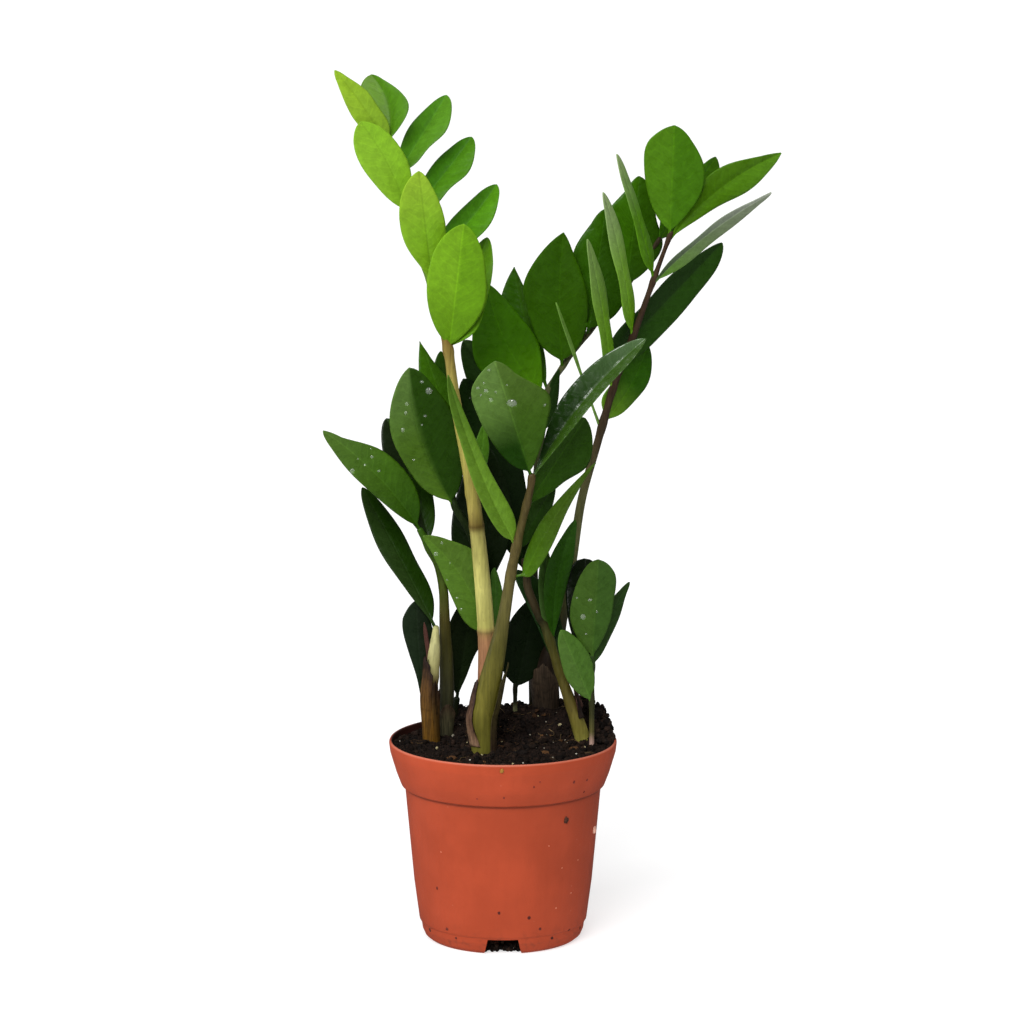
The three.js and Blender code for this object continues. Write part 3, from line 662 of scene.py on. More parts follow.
def add_blob(shape, template, centre, scale, turn, draw, rough, **values):
    """A small lump: the template's points, roughened, scaled, turned and put in place."""
    base, faces = template
    jolt = 1 + rough * (np.array([draw.random() for _ in range(len(base))])[:, None] - 0.5) * 2
    points = (base * jolt * np.array(scale)) @ np.array(turn.to_matrix()).T + np.array(centre)
    shape.add(points, faces, **values)


def ball(levels):
    """The points and faces of a small even ball."""
    work = bmesh.new()
    bmesh.ops.create_icosphere(work, subdivisions=levels, radius=1.0)
    points = np.array([v.co[:] for v in work.verts])
    faces = [[v.index for v in f.verts] for f in work.faces]
    work.free()
    return points, faces


# Materials
class Nodes:
    """A material's node tree, with short calls for the nodes that the materials share."""

    def __init__(self, name, roughness, specular):
        self.material = bpy.data.materials.new(name)
        self.material.use_nodes = True
        self.tree = self.material.node_tree
        self.shader = self.tree.nodes["Principled BSDF"]
        self.shader.inputs["Roughness"].default_value = roughness
        self.shader.inputs["Specular IOR Level"].default_value = specular
        coordinates = self.tree.nodes.new("ShaderNodeTexCoord")
        self.place, self.normal = coordinates.outputs["Object"], coordinates.outputs["Normal"]

    def feed(self, socket, value):
        if isinstance(value, bpy.types.NodeSocket):
            self.tree.links.new(value, socket)
        else:
            socket.default_value = value

    def attribute(self, name, output):
        node = self.tree.nodes.new("ShaderNodeAttribute")
        node.attribute_name = name
        return node.outputs[output]

    def math(self, operation, *values):
        node = self.tree.nodes.new("ShaderNodeMath")
        node.operation = operation
        for socket, value in zip(node.inputs, values):
            self.feed(socket, value)
        return node.outputs[0]

    def ramp(self, value, low, high, start=0.0, end=1.0):
        """value from low to high becomes start to end, smoothly."""
        node = self.tree.nodes.new("ShaderNodeMapRange")
        node.interpolation_type = "SMOOTHSTEP"
        self.feed(node.inputs["Value"], value)
        for name, number in (("From Min", low), ("From Max", high), ("To Min", start), ("To Max", end)):
            self.feed(node.inputs[name], number)
        return node.outputs[0]

    def texture(self, kind, per_mm, stretch=(1, 1, 1)):
        """A texture node with about per_mm spots to a millimetre."""
        turn = self.tree.nodes.new("ShaderNodeMapping")
        self.feed(turn.inputs["Vector"], self.place)
        turn.inputs["Scale"].default_value = tuple(per_mm / MM * s for s in stretch)
        node = self.tree.nodes.new(kind)
        self.feed(node.inputs["Vector"], turn.outputs[0])
        node.inputs["Scale"].default_value = 1.0
        return node

    def noise(self, per_mm, detail=3.0, stretch=(1, 1, 1), distortion=0.0):
        node = self.texture("ShaderNodeTexNoise", per_mm, stretch)
        node.inputs["Detail"].default_value = detail
        node.inputs["Distortion"].default_value = distortion
        return node.outputs["Fac"]

    def cells(self, per_mm):
        return self.texture("ShaderNodeTexVoronoi", per_mm).outputs["Distance"]

    def mix(self, share, first, second):
        node = self.tree.nodes.new("ShaderNodeMix")
        node.data_type = "RGBA"
        self.feed(node.inputs[0], share)
        for socket, colour in zip(node.inputs[6:8], (first, second)):
            self.feed(socket, colour + (1,) if isinstance(colour, tuple) else colour)
        return node.outputs[2]

    def vector(self, operation, first, second):
        node = self.tree.nodes.new("ShaderNodeVectorMath")
        node.operation = operation
        self.feed(node.inputs[0], first)
        self.feed(node.inputs["Scale" if operation == "SCALE" else 1], second)
        return node.outputs["Value" if operation == "DOT_PRODUCT" else "Vector"]

    def bright(self, colour, factor):
        """colour times a number that varies."""
        return self.vector("SCALE", colour, factor)

    def bump(self, height, distance, strength=1.0, under=None):
        node = self.tree.nodes.new("ShaderNodeBump")
        node.inputs["Strength"].default_value = strength
        node.inputs["Distance"].default_value = distance * MM
        self.feed(node.inputs["Height"], height)
        if under is not None:
            self.feed(node.inputs["Normal"], under)
        return node.outputs[0]

    def finish(self, colour=None, roughness=None, normal=None):
        for name, value in (("Base Color", colour), ("Roughness", roughness), ("Normal", normal)):
            if value is not None:
                self.feed(self.shader.inputs[name], value)
        return self.material


def leaf_material(name, gloss, specular):
    n = Nodes(name, gloss, specular=specular)
    tint = n.attribute("tint", "Color")
    across = n.math("ABSOLUTE", n.attribute("across", "Fac"))
    along = n.attribute("along", "Fac")
    under = n.attribute("under", "Fac")
    rim = n.attribute("rim", "Fac")
    wander = n.noise(0.11, 2)
    fine = n.noise(0.9, 3)
    patch = n.noise(0.22, 3, distortion=0.6)
    # side veins leave the midrib at a slant and curve on their way to the edge
    slant = n.math("SUBTRACT", along, n.math("MULTIPLY", across, 0.85))
    bent = n.math("ADD", slant, n.math("MULTIPLY", wander, 7.0))
    wave = n.math("SINE", n.math("MULTIPLY", bent, 1.35))
    vein = n.ramp(wave, 0.72, 1.0)
    fade = n.ramp(rim, 0.98, 0.5)
    vein = n.math("MULTIPLY", vein, fade)
    midrib = n.ramp(across, 0.7, 0.15)
    mottle = n.ramp(patch, 0.3, 0.72, 0.9, 1.1)
    colour = n.bright(tint, mottle)
    colour = n.bright(colour, n.ramp(fine, 0.3, 0.7, 0.96, 1.05))
    colour = n.bright(colour, n.ramp(vein, 0, 1, 1.0, 1.1))
    colour = n.mix(midrib, colour, n.bright(colour, n.attribute("rib", "Fac")))
    # painted light: the rim is lightened as if light shone through the thin edge
    edge = n.ramp(rim, 0.95, 1.0)
    colour = n.bright(colour, n.ramp(edge, 0, 1, 1.0, 1.3))
    dull = n.math("MULTIPLY", under, 0.12)
    rough = n.math("ADD", n.ramp(patch, 0.25, 0.75, gloss - 0.05, gloss + 0.06), dull)
    wet = n.math("MULTIPLY", n.attribute("wet", "Fac"), n.ramp(patch, 0.44, 0.6))
    rough = n.math("MULTIPLY", rough, n.ramp(wet, 0, 1, 1, 0.7))
    n.feed(n.shader.inputs["Specular IOR Level"], n.ramp(wet, 0, 1, specular, 0.8))
    height = n.math("ADD", n.math("MULTIPLY", vein, -0.25), n.math("MULTIPLY", midrib, -0.7))
    quilt = n.bump(wave, 0.03)
    veins = n.bump(height, 0.12, under=quilt)
    normal = n.bump(patch, 0.35, under=veins)
    return n.finish(colour, rough, normal)


def stem_material():
    n = Nodes("stem", 0.42, specular=0.14)
    tint = n.attribute("tint", "Color")
    streak = n.noise(0.75, 3, stretch=(1, 1, 0.07))
    broad = n.noise(0.16, 3, stretch=(1, 1, 0.35))
    fleck = n.noise(0.85, 1, stretch=(1, 1, 0.4))
    colour = n.bright(tint, n.ramp(streak, 0.3, 0.7, 0.82, 1.16))
    colour = n.bright(colour, n.ramp(broad, 0.3, 0.7, 0.86, 1.12))
    spot = n.ramp(fleck, 0.66, 0.74)
    colour = n.mix(n.math("MULTIPLY", spot, 0.35), colour, n.bright(tint, 0.4))
    rough = n.ramp(broad, 0.3, 0.7, 0.34, 0.5)
    ribs = n.bump(streak, 0.28)
    normal = n.bump(n.noise(2.2, 2), 0.08, under=ribs)
    return n.finish(colour, rough, normal)


def sheath_material():
    n = Nodes("sheath", 0.6, specular=0.12)
    tint = n.attribute("tint", "Color")
    fibre = n.noise(1.3, 3, stretch=(1, 1, 0.06))
    stain = n.noise(0.3, 4)
    colour = n.bright(tint, n.ramp(fibre, 0.3, 0.72, 0.62, 1.35))
    colour = n.mix(n.ramp(stain, 0.5, 0.72, 0, 0.6), colour, n.bright(tint, 0.32))
    normal = n.bump(fibre, 0.3, under=n.bump(stain, 0.3))
    return n.finish(colour, n.ramp(stain, 0.3, 0.7, 0.5, 0.75), normal)


def pot_material():
    n = Nodes("pot_plastic", 0.45, specular=0.16)
    clay = linear(POT_COLOUR)
    cloud = n.noise(0.035, 4)
    grain = n.noise(1.6, 3)
    streak = n.noise(0.25, 3, stretch=(1, 1, 0.12))
    paler, deeper, streaked = (tuple(min(v * share, 1) for v in clay) for share in (1.07, 0.93, 0.72))
    colour = n.mix(n.ramp(cloud, 0.35, 0.68), deeper, paler)
    colour = n.mix(n.ramp(streak, 0.45, 0.75, 0, 0.12), colour, streaked)
    # dry chalky specks, a film of dirt on the foot, and painted shadow in the groove under the collar;
    # heights are metres here
    distance = n.cells(0.24)
    speck = n.math("MULTIPLY", n.ramp(distance, 0.13, 0.05), n.ramp(n.noise(0.09, 2), 0.56, 0.66))
    colour = n.mix(n.math("MULTIPLY", speck, 0.16), colour, (0.62, 0.3, 0.2))
    split = n.tree.nodes.new("ShaderNodeSeparateXYZ")
    n.feed(split.inputs[0], n.place)
    depth, height = split.outputs[1:]
    # painted light: the collar is made lighter than the body
    colour = n.bright(colour, n.ramp(height, 0.083, 0.095, 1.0, 1.09))
    low = n.ramp(height, 0.02, 0.0)
    # painted shadow: the groove under the collar is darkened
    off_step = n.math("ABSOLUTE", n.math("SUBTRACT", height, STEP_HEIGHT * MM))
    step_shadow = n.ramp(off_step, 0.0012, 0.0002)
    dirt = n.math("MULTIPLY", low, n.ramp(n.noise(0.3, 4), 0.5, 0.75))
    colour = n.mix(n.math("MULTIPLY", dirt, 0.5), colour, linear((92, 50, 36)))
    colour = n.mix(n.math("MULTIPLY", step_shadow, 0.55), colour, linear((96, 40, 28)))
    # painted shade and clinging damp soil darken the inside of the wall and the back half of the lip, and a
    # painted highlight runs along the front of the lip
    facing = n.vector("DOT_PRODUCT", n.vector("MULTIPLY", n.place, (1, 1, 0)), n.normal)
    inner = n.ramp(facing, -0.012, -0.035)
    behind = n.ramp(depth, 0.004, 0.02)
    lip = n.math("MULTIPLY", n.ramp(height, 0.1052, 0.1064), behind)
    lip_shade_and_smear = n.math("MULTIPLY", lip, n.ramp(n.noise(0.35, 3), 0.4, 0.6, 0.25, 1.0))
    # painted highlight along the front of the lip
    lip_highlight = n.math("MULTIPLY", n.ramp(height, 0.1057, 0.1066, 0, 0.35), n.ramp(depth, 0.0, -0.02))
    colour = n.mix(lip_highlight, colour, linear((214, 140, 118)))
    colour = n.mix(n.math("MAXIMUM", inner, lip_shade_and_smear), colour, linear((50, 24, 19)))
    rough = n.ramp(n.math("ADD", cloud, n.math("MULTIPLY", grain, 0.4)), 0.45, 0.9, 0.38, 0.54)
    normal = n.bump(grain, 0.05, under=n.bump(n.noise(0.12, 2), 0.25))
    return n.finish(colour, rough, normal)


def soil_material():
    n = Nodes("soil_crumbs", 0.95, specular=0.06)
    tint = n.attribute("tint", "Color")
    grain = n.noise(1.7, 4)
    damp = n.noise(0.12, 3)
    colour = n.bright(tint, n.ramp(grain, 0.3, 0.72, 0.5, 1.6))
    colour = n.bright(colour, n.ramp(damp, 0.35, 0.65, 0.75, 1.2))
    normal = n.bump(grain, 0.6)
    return n.finish(colour, n.ramp(damp, 0.35, 0.65, 0.8, 1.0), normal)


def grain_material(name, roughness, specular, per_mm, dark, light, relief):
    """A tinted grain, darker and lighter in spots."""
    n = Nodes(name, roughness, specular)
    tint = n.attribute("tint", "Color")
    grain = n.noise(per_mm, 3)
    colour = n.bright(tint, n.ramp(grain, 0.3, 0.7, dark, light))
    return n.finish(colour, None, n.bump(grain, relief))


def water_material():
    n = Nodes("water", 0.1, specular=1.0)
    # painted highlight: a tenth of each drop is white and not clear, so the drops look bright
    n.shader.inputs["Transmission Weight"].default_value = 0.9
    n.shader.inputs["IOR"].default_value = 1.5
    return n.finish((1, 1, 1, 1), None, n.bump(n.noise(0.8, 1), 0.02))


def floor_material():
    n = Nodes("pale_floor", 0.9, specular=0.1)
    colour = n.mix(n.ramp(n.noise(0.004, 2), 0.3, 0.7), (0.5, 0.5, 0.5), (0.52, 0.52, 0.52))
    n.shader.inputs["Emission Color"].default_value = (1, 1, 1, 1)
    n.shader.inputs["Emission Strength"].default_value = FLOOR_GLOW
    return n.finish(colour)


# Pot
def rounded(profile, reach, steps=4):
    """profile with its corners turned into small curves."""
    out = [profile[0]]
    for before, here, after in zip(profile, profile[1:], profile[2:]):
        before, here, after = (np.array(p, dtype=float) for p in (before, here, after))
        back, ahead = before - here, after - here
        a = here + back * min(reach / np.linalg.norm(back), 0.45)
        b = here + ahead * min(reach / np.linalg.norm(ahead), 0.45)
        for k in range(steps + 1):
            s = k / steps
            out.append(tuple(a * (1 - s) ** 2 + here * 2 * s * (1 - s) + b * s**2))
    return out + [profile[-1]]


def inset(outline):
    return [(radius - WALL, height) for radius, height in reversed(outline)]


def pot_profile():
    under = [(0, 0), (CENTRE_SPOT_RADIUS, 0), (CENTRE_SPOT_RADIUS + 2.4, FLOOR_UNDERSIDE),
             (41.8, FLOOR_UNDERSIDE), (40.8, 3.4), (38.2, 0)]
    inside = inset(COLLAR_OUTLINE[1:3]) + [INSIDE_STEP] + inset(BODY_OUTLINE[1:])
    inside += [(42.8, FLOOR_TOP), (CENTRE_SPOT_RADIUS + 3.6, FLOOR_TOP),
               (CENTRE_SPOT_RADIUS + 1.2, WALL), (0, WALL)]
    return under + FOOT_OUTLINE + BODY_OUTLINE + COLLAR_OUTLINE + LIP_TOP + inside


def turned(profile, segments):
    """The points and faces of a profile turned about Z, which starts and ends on the axis."""
    points = [(0, 0, profile[0][1])]
    for radius, height in profile[1:-1]:
        points += [(radius * math.cos(a), radius * math.sin(a), height) for a in circle(segments)]
    points.append((0, 0, profile[-1][1]))
    return points, turned_faces(len(profile) - 2, segments)


def cut(piece, tool):
    """Takes the tool's shape out of the piece."""
    modifier = piece.modifiers.new("cut", "BOOLEAN")
    modifier.operation = "DIFFERENCE"
    modifier.solver = "EXACT"
    modifier.object = tool
    bpy.context.view_layer.update()
    graph = bpy.context.evaluated_depsgraph_get()
    mesh = bpy.data.meshes.new_from_object(piece.evaluated_get(graph))
    piece.modifiers.clear()
    piece.data = mesh
    bpy.data.objects.remove(tool, do_unlink=True)


def make_pot():
    shape, tools = Shape(), Shape()
    shape.add(*turned(rounded(pot_profile(), 0.55), POT_SEGMENTS))
    piece = shape.build("nursery_pot", pot_material())
    for angle in circle(NOTCH_COUNT):
        spin = Matrix.Rotation(angle, 3, "Z")
        corners = []
        for y in (-NOTCH["outer"], -NOTCH["inner"]):
            for x, z in ((-NOTCH["bottom"] / 2, -1), (NOTCH["bottom"] / 2, -1),
                         (NOTCH["top"] / 2, NOTCH["height"]), (-NOTCH["top"] / 2, NOTCH["height"])):
                corners.append(tuple(spin @ Vector((x, y, z))))
        tools.add(corners, [(0, 1, 2, 3), (7, 6, 5, 4), (0, 4, 5, 1), (1, 5, 6, 2), (2, 6, 7, 3),
                            (3, 7, 4, 0)])
    around = circle(DRAIN["sides"])
    for i in range(DRAIN["count"]):
        angle = (i + 0.5) * 2 * math.pi / DRAIN["count"]
        centre = np.array([DRAIN["ring"] * math.cos(angle), DRAIN["ring"] * math.sin(angle), 0])
        rows = [centre + np.stack([DRAIN["radius"] * np.cos(around), DRAIN["radius"] * np.sin(around),
                                   np.full(len(around), z)], axis=1) for z in DRAIN["reach"]]
        tools.add(np.concatenate(rows), ring_faces(2, len(around)))
    cut(piece, tools.build("cutters", piece.data.materials[0]))
    piece.data.shade_smooth()
    piece.data.set_sharp_from_angle(angle=math.radians(38))
    return piece


# Soil
def soil_level(x, y):
    """Height of the soil: its broad heaps only."""
    height = np.full(np.shape(x), float(SOIL_EDGE_HEIGHT))
    for heap_x, heap_y, rise, spread in SOIL_HEAPS:
        height += rise * np.exp(-((x - heap_x) ** 2 + (y - heap_y) ** 2) / (2 * spread**2))
    return height


def lumps(x, y):
    """Unevenness of the soil at a place, from clods down to crumbs."""
    place = Vector((x, y, 0))
    coarse = noise.noise(place * 0.11 + Vector((3, 1, 7)))
    middle = noise.noise(place * 0.31 + Vector((9, 4, 2)))
    small = noise.noise(place * 0.83)
    return 1.5 * coarse + 1.3 * middle + 0.75 * small


def ground(x, y):
    """Height of the soil at a place with its unevenness."""
    return float(soil_level(x, y)) + lumps(x, y)


def random_tone(draw, tones):
    return np.array(linear(draw.choice(tones)))


def soil_tint(draw):
    return random_tone(draw, SOIL_TONES) * draw.uniform(0.6, 1.2)


def make_soil(material, draw):
    shape = Shape()
    rings = int(SOIL_RADIUS / SOIL_STEP)
    radii = [SOIL_RADIUS * k / rings for k in range(rings, 0, -1)]
    angle = circle(SOIL_SEGMENTS)
    points = [(0, 0, SOIL_WALL[0][1])]
    for radius, height in SOIL_WALL:
        points += [(radius * math.cos(a), radius * math.sin(a), height) for a in angle]
    for radius in radii:
        x, y = radius * np.cos(angle), radius * np.sin(angle)
        level = soil_level(x, y)
        for px, py, pz in zip(x, y, level):
            points.append((px, py, pz + lumps(px, py) * (0.55 if radius > SOIL_RADIUS - 1 else 1)))
    points.append((0, 0, ground(0, 0)))
    faces = turned_faces(len(SOIL_WALL) + rings, SOIL_SEGMENTS)
    shape.add(points, faces, tint=np.array(linear(SOIL_COLOUR)))
    grain, clod = ball(1), ball(2)
    for k in range(CRUMB_COUNT + CLOD_COUNT):
        big = k >= CRUMB_COUNT
        x, y = random_spot(draw, 57.6)
        size = draw.uniform(0.9, 2.1) if big else draw.choice(CRUMB_SIZES) * draw.uniform(0.8, 1.2)
        z = ground(x, y) + size * draw.uniform(-0.25, 0.45)
        spin = tumble(draw)
        stretch = [size * draw.uniform(0.7, 1.3) for _ in range(3)]
        add_blob(shape, clod if big else grain, (x, y, z), stretch, spin, draw, 0.22, tint=soil_tint(draw))
    for _ in range(CHIP_COUNT):
        x, y = random_spot(draw, 55)
        size = draw.uniform(1.2, 3.4)
        place = (x, y, ground(x, y) + 0.4)
        spin = Vector([draw.gauss(0, 0.5), draw.gauss(0, 0.5), 1]).to_track_quat("Z", "Y")
        stretch = (size, size * draw.uniform(0.3, 0.6), 0.35)
        tone = random_tone(draw, CHIP_TONES) * draw.uniform(0.6, 1)
        add_blob(shape, clod, place, stretch, spin, draw, 0.15, tint=tone)
    for _ in range(FIBRE_COUNT):
        add_fibre(shape, draw)
    add_spill(shape, clod, draw)
    return shape.build("potting_soil", material)


def add_spill(shape, clod, draw):
    """Crumbs heaped against the inside of the lip at the right and back, and caught in the front notch."""
    for _ in range(SPILL_COUNT):
        way = math.radians(draw.uniform(-4, 72))
        reach = draw.uniform(0, 1)
        radius = 59.2 - 9 * reach
        size = draw.uniform(0.7, 1.9)
        x, y = radius * math.cos(way), radius * math.sin(way)
        swell = SPILL_RISE * math.sin(math.pi * (way + 0.1) / 1.45) ** 0.7 * draw.uniform(0.1, 1)
        z = float(soil_level(x, y)) + 0.6 + max(swell, 0)
        spin = tumble(draw)
        stretch = [size * draw.uniform(0.7, 1.2) for _ in range(3)]
        add_blob(shape, clod, (x, y, z), stretch, spin, draw, 0.22, tint=soil_tint(draw))
    for _ in range(NOTCH_CRUMBS):
        size = draw.uniform(0.7, 1.6)
        x, y = draw.uniform(-10.5, 10.5), draw.uniform(-35.5, -27)
        rise = 5.2 * draw.uniform(0, 1) * min((y + 37) / 4, 1)
        spin = tumble(draw)
        add_blob(shape, clod, (x, y, size * 0.72 + rise), (size, size, size * 0.8), spin, draw, 0.2,
                 tint=soil_tint(draw))


def random_spot(draw, radius):
    r, a = radius * math.sqrt(draw.random()), draw.uniform(0, 2 * math.pi)
    return r * math.cos(a), r * math.sin(a)


def add_fibre(shape, draw):
    """A thin bent root or coir fibre lying on the soil."""
    x, y = random_spot(draw, 50)
    way, length = draw.uniform(0, 2 * math.pi), draw.uniform(4, 12)
    knots = []
    for _ in range(5):
        knots.append((x, y, ground(x, y) + draw.uniform(0.3, 1.0)))
        way += draw.gauss(0, 0.45)
        x, y = x + math.cos(way) * length / 4, y + math.sin(way) * length / 4
        far = math.hypot(x, y)
        if far > FIBRE_REACH:
            x, y = x * FIBRE_REACH / far, y * FIBRE_REACH / far
    rows, sides = 14, 6
    place, slope = spline(knots, np.linspace(0, 1, rows))
    along = unit(slope)
    across = unit(np.cross(along, [0, 0, 1.0]))
    radius = np.linspace(1, 0.45, rows) * draw.uniform(0.12, 0.24)
    points = tube(place, across, np.cross(across, along), radius[:, None], circle(sides))
    tone = random_tone(draw, FIBRE_TONES) * draw.uniform(0.5, 1)
    shape.add(points, [face[::-1] for face in ring_faces(rows, sides)], tint=tone)


# Sheaths
def add_sheath(shape, stem, low, high, middle, spread, gap, flare, colours, peak, tatter, draw):
    """A dry papery sleeve round part of a stem."""
    place = spline(stem_knots(stem), np.linspace(0, 1, 400))[0]
    columns, rows, half_thick = 26, 22, 0.18
    bits = [draw.uniform(-1, 1) for _ in range(columns)]
    front, back, tint = [], [], []
    bark = list(zip((low, (low + high) / 2, high), colours))
    for i in range(rows):
        share = i / (rows - 1)
        for j in range(columns):
            s = 2 * j / (columns - 1) - 1
            top = high - peak * abs(s) ** 1.3 + tatter * bits[j] * (1 - abs(s) * 0.3)
            z = low + (top - low) * share
            k = int(np.argmin(np.abs(place[:, 2] - z)))
            radius = place[k, 3] + gap + flare * share**2 + 0.5 * math.sin(s * 5 + share * 3) * share
            angle = math.radians(middle + spread * s * (1 - 0.25 * share))
            out = np.array([math.cos(angle), math.sin(angle), 0])
            centre = np.array([place[k, 0], place[k, 1], z])
            front.append(centre + out * (radius + half_thick))
            back.append(centre + out * (radius - half_thick))
            tint.append(colours_at(np.array([low + (high - low) * share]), bark)[0])
    faces = []
    back_at = rows * columns
    for i in range(rows - 1):
        for j in range(columns - 1):
            a = i * columns + j
            b, c, d = a + 1, a + columns + 1, a + columns
            faces += [(a, b, c, d), (back_at + d, back_at + c, back_at + b, back_at + a)]
    border = list(range(columns)) + [i * columns + columns - 1 for i in range(1, rows)]
    border += [(rows - 1) * columns + j for j in range(columns - 2, -1, -1)]
    border += [i * columns for i in range(rows - 2, 0, -1)]
    for a, b in zip(border, border[1:] + border[:1]):
        faces.append((b, a, back_at + a, back_at + b))
    shape.add(np.array(front + back), faces, tint=np.array(tint + tint))


def make_sheath(name, sleeves, material, draw):
    shape = Shape()
    for sleeve in sleeves:
        add_sheath(shape, FRONDS[name]["stem"], *sleeve, draw)
    return shape.build(name.replace("frond", "sheath"), material)


# Things placed by where the picture shows them
def camera_ray(u, v):
    """The way from the camera through a place of the picture."""
    pixels = PHOTO_SIDE * LENS / SENSOR
    aim = Vector(((u - PHOTO_SIDE / 2) / pixels, (PHOTO_SIDE / 2 - v) / pixels, -1)).normalized()
    return Matrix.Rotation(math.radians(90 - CAMERA_PITCH), 3, "X") @ aim


def seen_at(spots, kind):
    """For picture places that show a piece of the kind: the place on it, its outward direction, and the
    rest of the spot."""
    graph = bpy.context.evaluated_depsgraph_get()
    found = []
    for u, v, *rest in spots:
        hit, place, normal, _, piece, _ = bpy.context.scene.ray_cast(
            graph, Vector(CAMERA_PLACE) * MM, camera_ray(u, v))
        if hit and piece.name.startswith(kind):
            found.append((place / MM, normal, *rest))
    return found


def add_drop(shape, place, normal, radius, draw):
    """A flat-bottomed dome of water on a leaf."""
    rows, sides = 7, 18
    turn = normal.to_track_quat("Z", "Y").to_matrix()
    stretch, dome, sunk, crown = draw.uniform(0.85, 1.25), 0.62 * radius, 0.05, 0.02
    points = []
    for i in range(rows):
        lift = math.pi / 2 * i / (rows - 1)
        for j in range(sides):
            a = 2 * math.pi * j / sides
            wobble = 1 + 0.06 * math.sin(2 * a + radius * 9)
            spot = Vector((radius * stretch * wobble * math.cos(lift) * math.cos(a),
                           radius * wobble * math.cos(lift) * math.sin(a), dome * math.sin(lift) - sunk))
            if i == rows - 1:
                spot = Vector((crown * math.cos(a), crown * math.sin(a), dome - sunk))
            points.append(tuple(place + turn @ spot))
    shape.add(points, ring_faces(rows, sides))


def make_drops(draw):
    shape = Shape()
    for place, normal, radius in seen_at(DROP_SPOTS, "leaves_"):
        add_drop(shape, place, normal, radius, draw)
    piece = shape.build("water_drops", water_material())
    piece.visible_shadow = False
    return piece


def make_perlite(draw):
    shape, template = Shape(), ball(2)
    spots = [(place, size) for place, _, size in seen_at(PERLITE_SPOTS, "potting_soil")]
    for _ in range(PERLITE_SCATTER):
        x, y = random_spot(draw, 55)
        spots.append((Vector((x, y, ground(x, y) + 0.3)), draw.uniform(0.4, 0.8)))
    for place, size in spots:
        spin = tumble(draw)
        stretch = [size * 0.55 * draw.uniform(0.8, 1.25) for _ in range(3)]
        tone = random_tone(draw, PERLITE_TONES)
        add_blob(shape, template, tuple(place), stretch, spin, draw, 0.16, tint=tone)
    return shape.build("perlite_grains", grain_material("perlite", 0.85, 0.3, 2.4, 0.65, 1.1, 0.4))


def pot_radius(height):
    outline = FOOT_OUTLINE + BODY_OUTLINE + COLLAR_OUTLINE
    return float(np.interp(height, [z for _, z in outline], [r for r, _ in outline]))


def make_marks(draw):
    shape, template = Shape(), ball(2)
    spots = seen_at(MARK_SPOTS, "nursery_pot")
    for angle, height, size, colour in POT_MARKS:
        a = math.radians(angle)
        out = Vector((math.sin(a), -math.cos(a), 0))
        spots.append((out * (pot_radius(height) + 0.05) + Vector((0, 0, height)), out, size, colour))
    for place, out, size, colour in spots:
        spin = out.to_track_quat("Z", "Y")
        raised = 0.55 if size > 1 else 0.22
        stretch = (size * draw.uniform(0.8, 1.2), size * draw.uniform(0.8, 1.3), size * raised)
        add_blob(shape, template, tuple(place), stretch, spin, draw, 0.2, tint=np.array(linear(colour)))
    return shape.build("pot_marks", grain_material("dirt_marks", 0.8, 0.25, 2.0, 0.7, 1.3, 0.3))


# Making the plant
def settle(piece, slot, *nodes):
    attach(piece, "root")
    if nodes:
        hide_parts(*nodes)


settle(make_pot(), "pot", "pot")
settle(make_soil(soil_material(), random.Random(11)), "soil", "soil")
young_look, leaf_look = leaf_material("young_leaf", 0.44, 0.14), leaf_material("leaf", 0.3, 0.13)
stem_look = stem_material()
for number, (name, frond) in enumerate(FRONDS.items()):
    draw = random.Random(100 + number)
    stems, leaves = Shape(), Shape()
    add_stem(stems, frond, number)
    for leaf in frond["leaves"]:
        add_leaf(leaves, frond["stem"], leaf, draw)
    short = name.replace("frond_", "")
    settle(stems.build("stem_" + short, stem_look), frond["slot"], name)
    look = young_look if frond["slot"] == "new_foliage" else leaf_look
    settle(leaves.build("leaves_" + short, look), frond["slot"], name)
sheath_look, draw = sheath_material(), random.Random(5)
for name, sleeves in SHEATHS.items():
    settle(make_sheath(name, sleeves, sheath_look, draw), FRONDS[name]["slot"])
bpy.context.view_layer.update()
settle(make_perlite(random.Random(21)), "soil")
settle(make_marks(random.Random(31)), "pot")
settle(make_drops(random.Random(41)), "fresh_foliage")

# Stage
floor_shape = Shape()
steps = np.linspace(-FLOOR_HALF, FLOOR_HALF, FLOOR_LINES)
corners = [j * FLOOR_LINES + i for j in range(FLOOR_LINES - 1) for i in range(FLOOR_LINES - 1)]
floor_shape.add([(x, y, FLOOR_HEIGHT) for y in steps for x in steps],
                [(k, k + 1, k + FLOOR_LINES + 1, k + FLOOR_LINES) for k in corners])
floor = floor_shape.build("floor", floor_material())
floor.visible_glossy = False

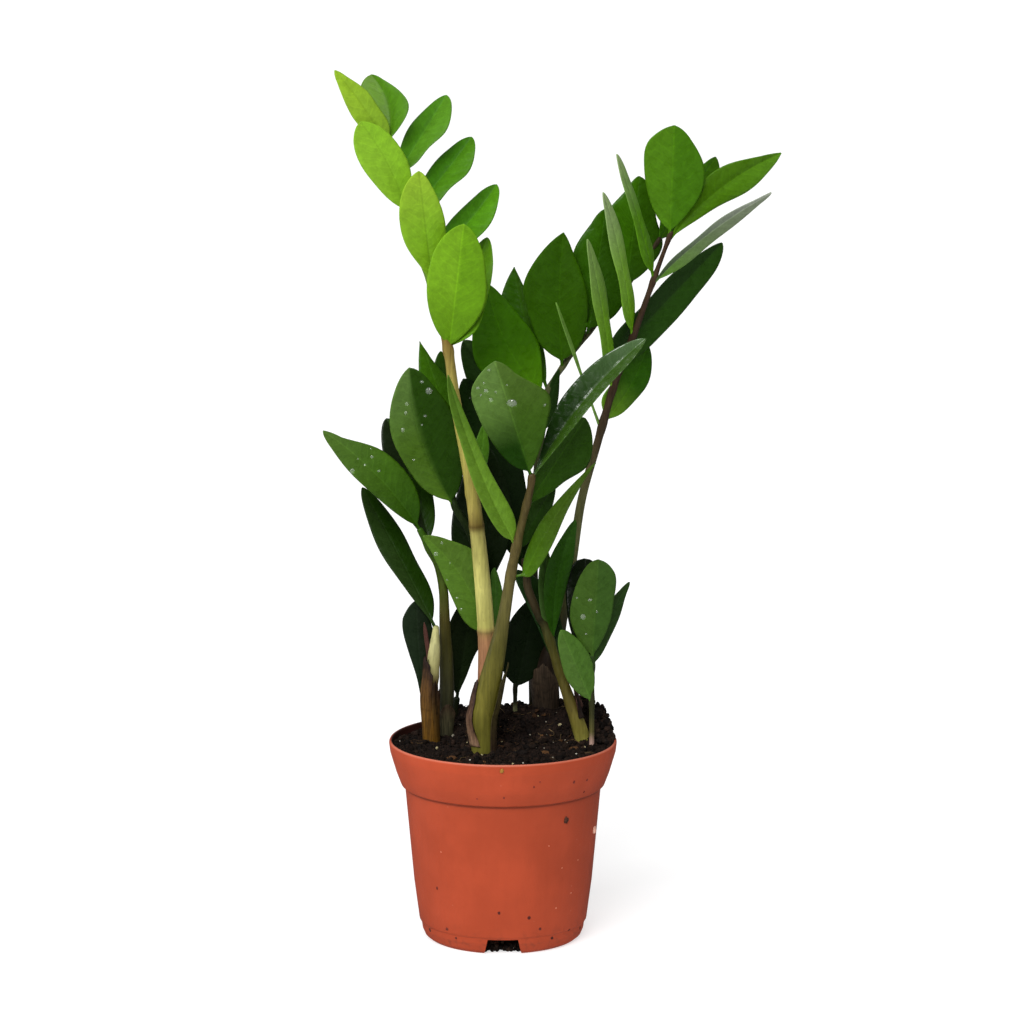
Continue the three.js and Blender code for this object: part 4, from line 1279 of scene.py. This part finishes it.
lens = bpy.data.cameras.new("camera")
lens.lens, lens.sensor_width = LENS, SENSOR
lens.clip_start, lens.clip_end = 0.05, 100
camera = bpy.data.objects.new("camera", lens)
camera.location = Vector(CAMERA_PLACE) * MM
camera.rotation_euler = (math.radians(90 - CAMERA_PITCH), 0, 0)
bpy.context.collection.objects.link(camera)
bpy.context.scene.camera = camera


def aim(lamp, place, target=(0, 0, 220)):
    lamp.location = Vector(place) * MM
    lamp.rotation_euler = (Vector(place) - Vector(target)).to_track_quat("Z", "Y").to_euler()
    bpy.context.collection.objects.link(lamp)


sun = bpy.data.lights.new("key", "SUN")
sun.energy, sun.angle = KEY["strength"], math.radians(KEY["spread"])
azimuth, elevation = math.radians(KEY["azimuth"]), math.radians(KEY["elevation"])
key_way = Vector((math.sin(azimuth) * math.cos(elevation), -math.cos(azimuth) * math.cos(elevation),
                  math.sin(elevation)))
aim(bpy.data.objects.new("key", sun), key_way * 2500)
for number, (place, width, height, power) in enumerate(SOFTBOXES):
    box = bpy.data.lights.new(f"softbox_{number}", "AREA")
    box.shape, box.size, box.size_y, box.energy = "RECTANGLE", width * MM, height * MM, power
    aim(bpy.data.objects.new(f"softbox_{number}", box), place)

world = bpy.data.worlds.new("studio")
world.use_nodes = True
bpy.context.scene.world = world
tree = world.node_tree
background = tree.nodes["Background"]
coordinates = tree.nodes.new("ShaderNodeTexCoord")
direction = tree.nodes.new("ShaderNodeVectorMath")
direction.operation = "DOT_PRODUCT"
direction.inputs[1].default_value = Vector(SKY_WAY).normalized()
tree.links.new(coordinates.outputs["Generated"], direction.inputs[0])
level = tree.nodes.new("ShaderNodeMapRange")
level.interpolation_type = "SMOOTHSTEP"
for socket, number in (("From Min", -0.1), ("From Max", 0.9), ("To Min", SKY_DIM), ("To Max", SKY_BRIGHT)):
    level.inputs[socket].default_value = number
tree.links.new(direction.outputs["Value"], level.inputs["Value"])
tree.links.new(level.outputs[0], background.inputs["Strength"])
background.inputs["Color"].default_value = (1, 1, 1, 1)

scene = bpy.context.scene
scene.view_settings.view_transform = "Standard"
scene.view_settings.look = "None"
scene.view_settings.exposure = 0.0
scene.view_settings.gamma = 1.0
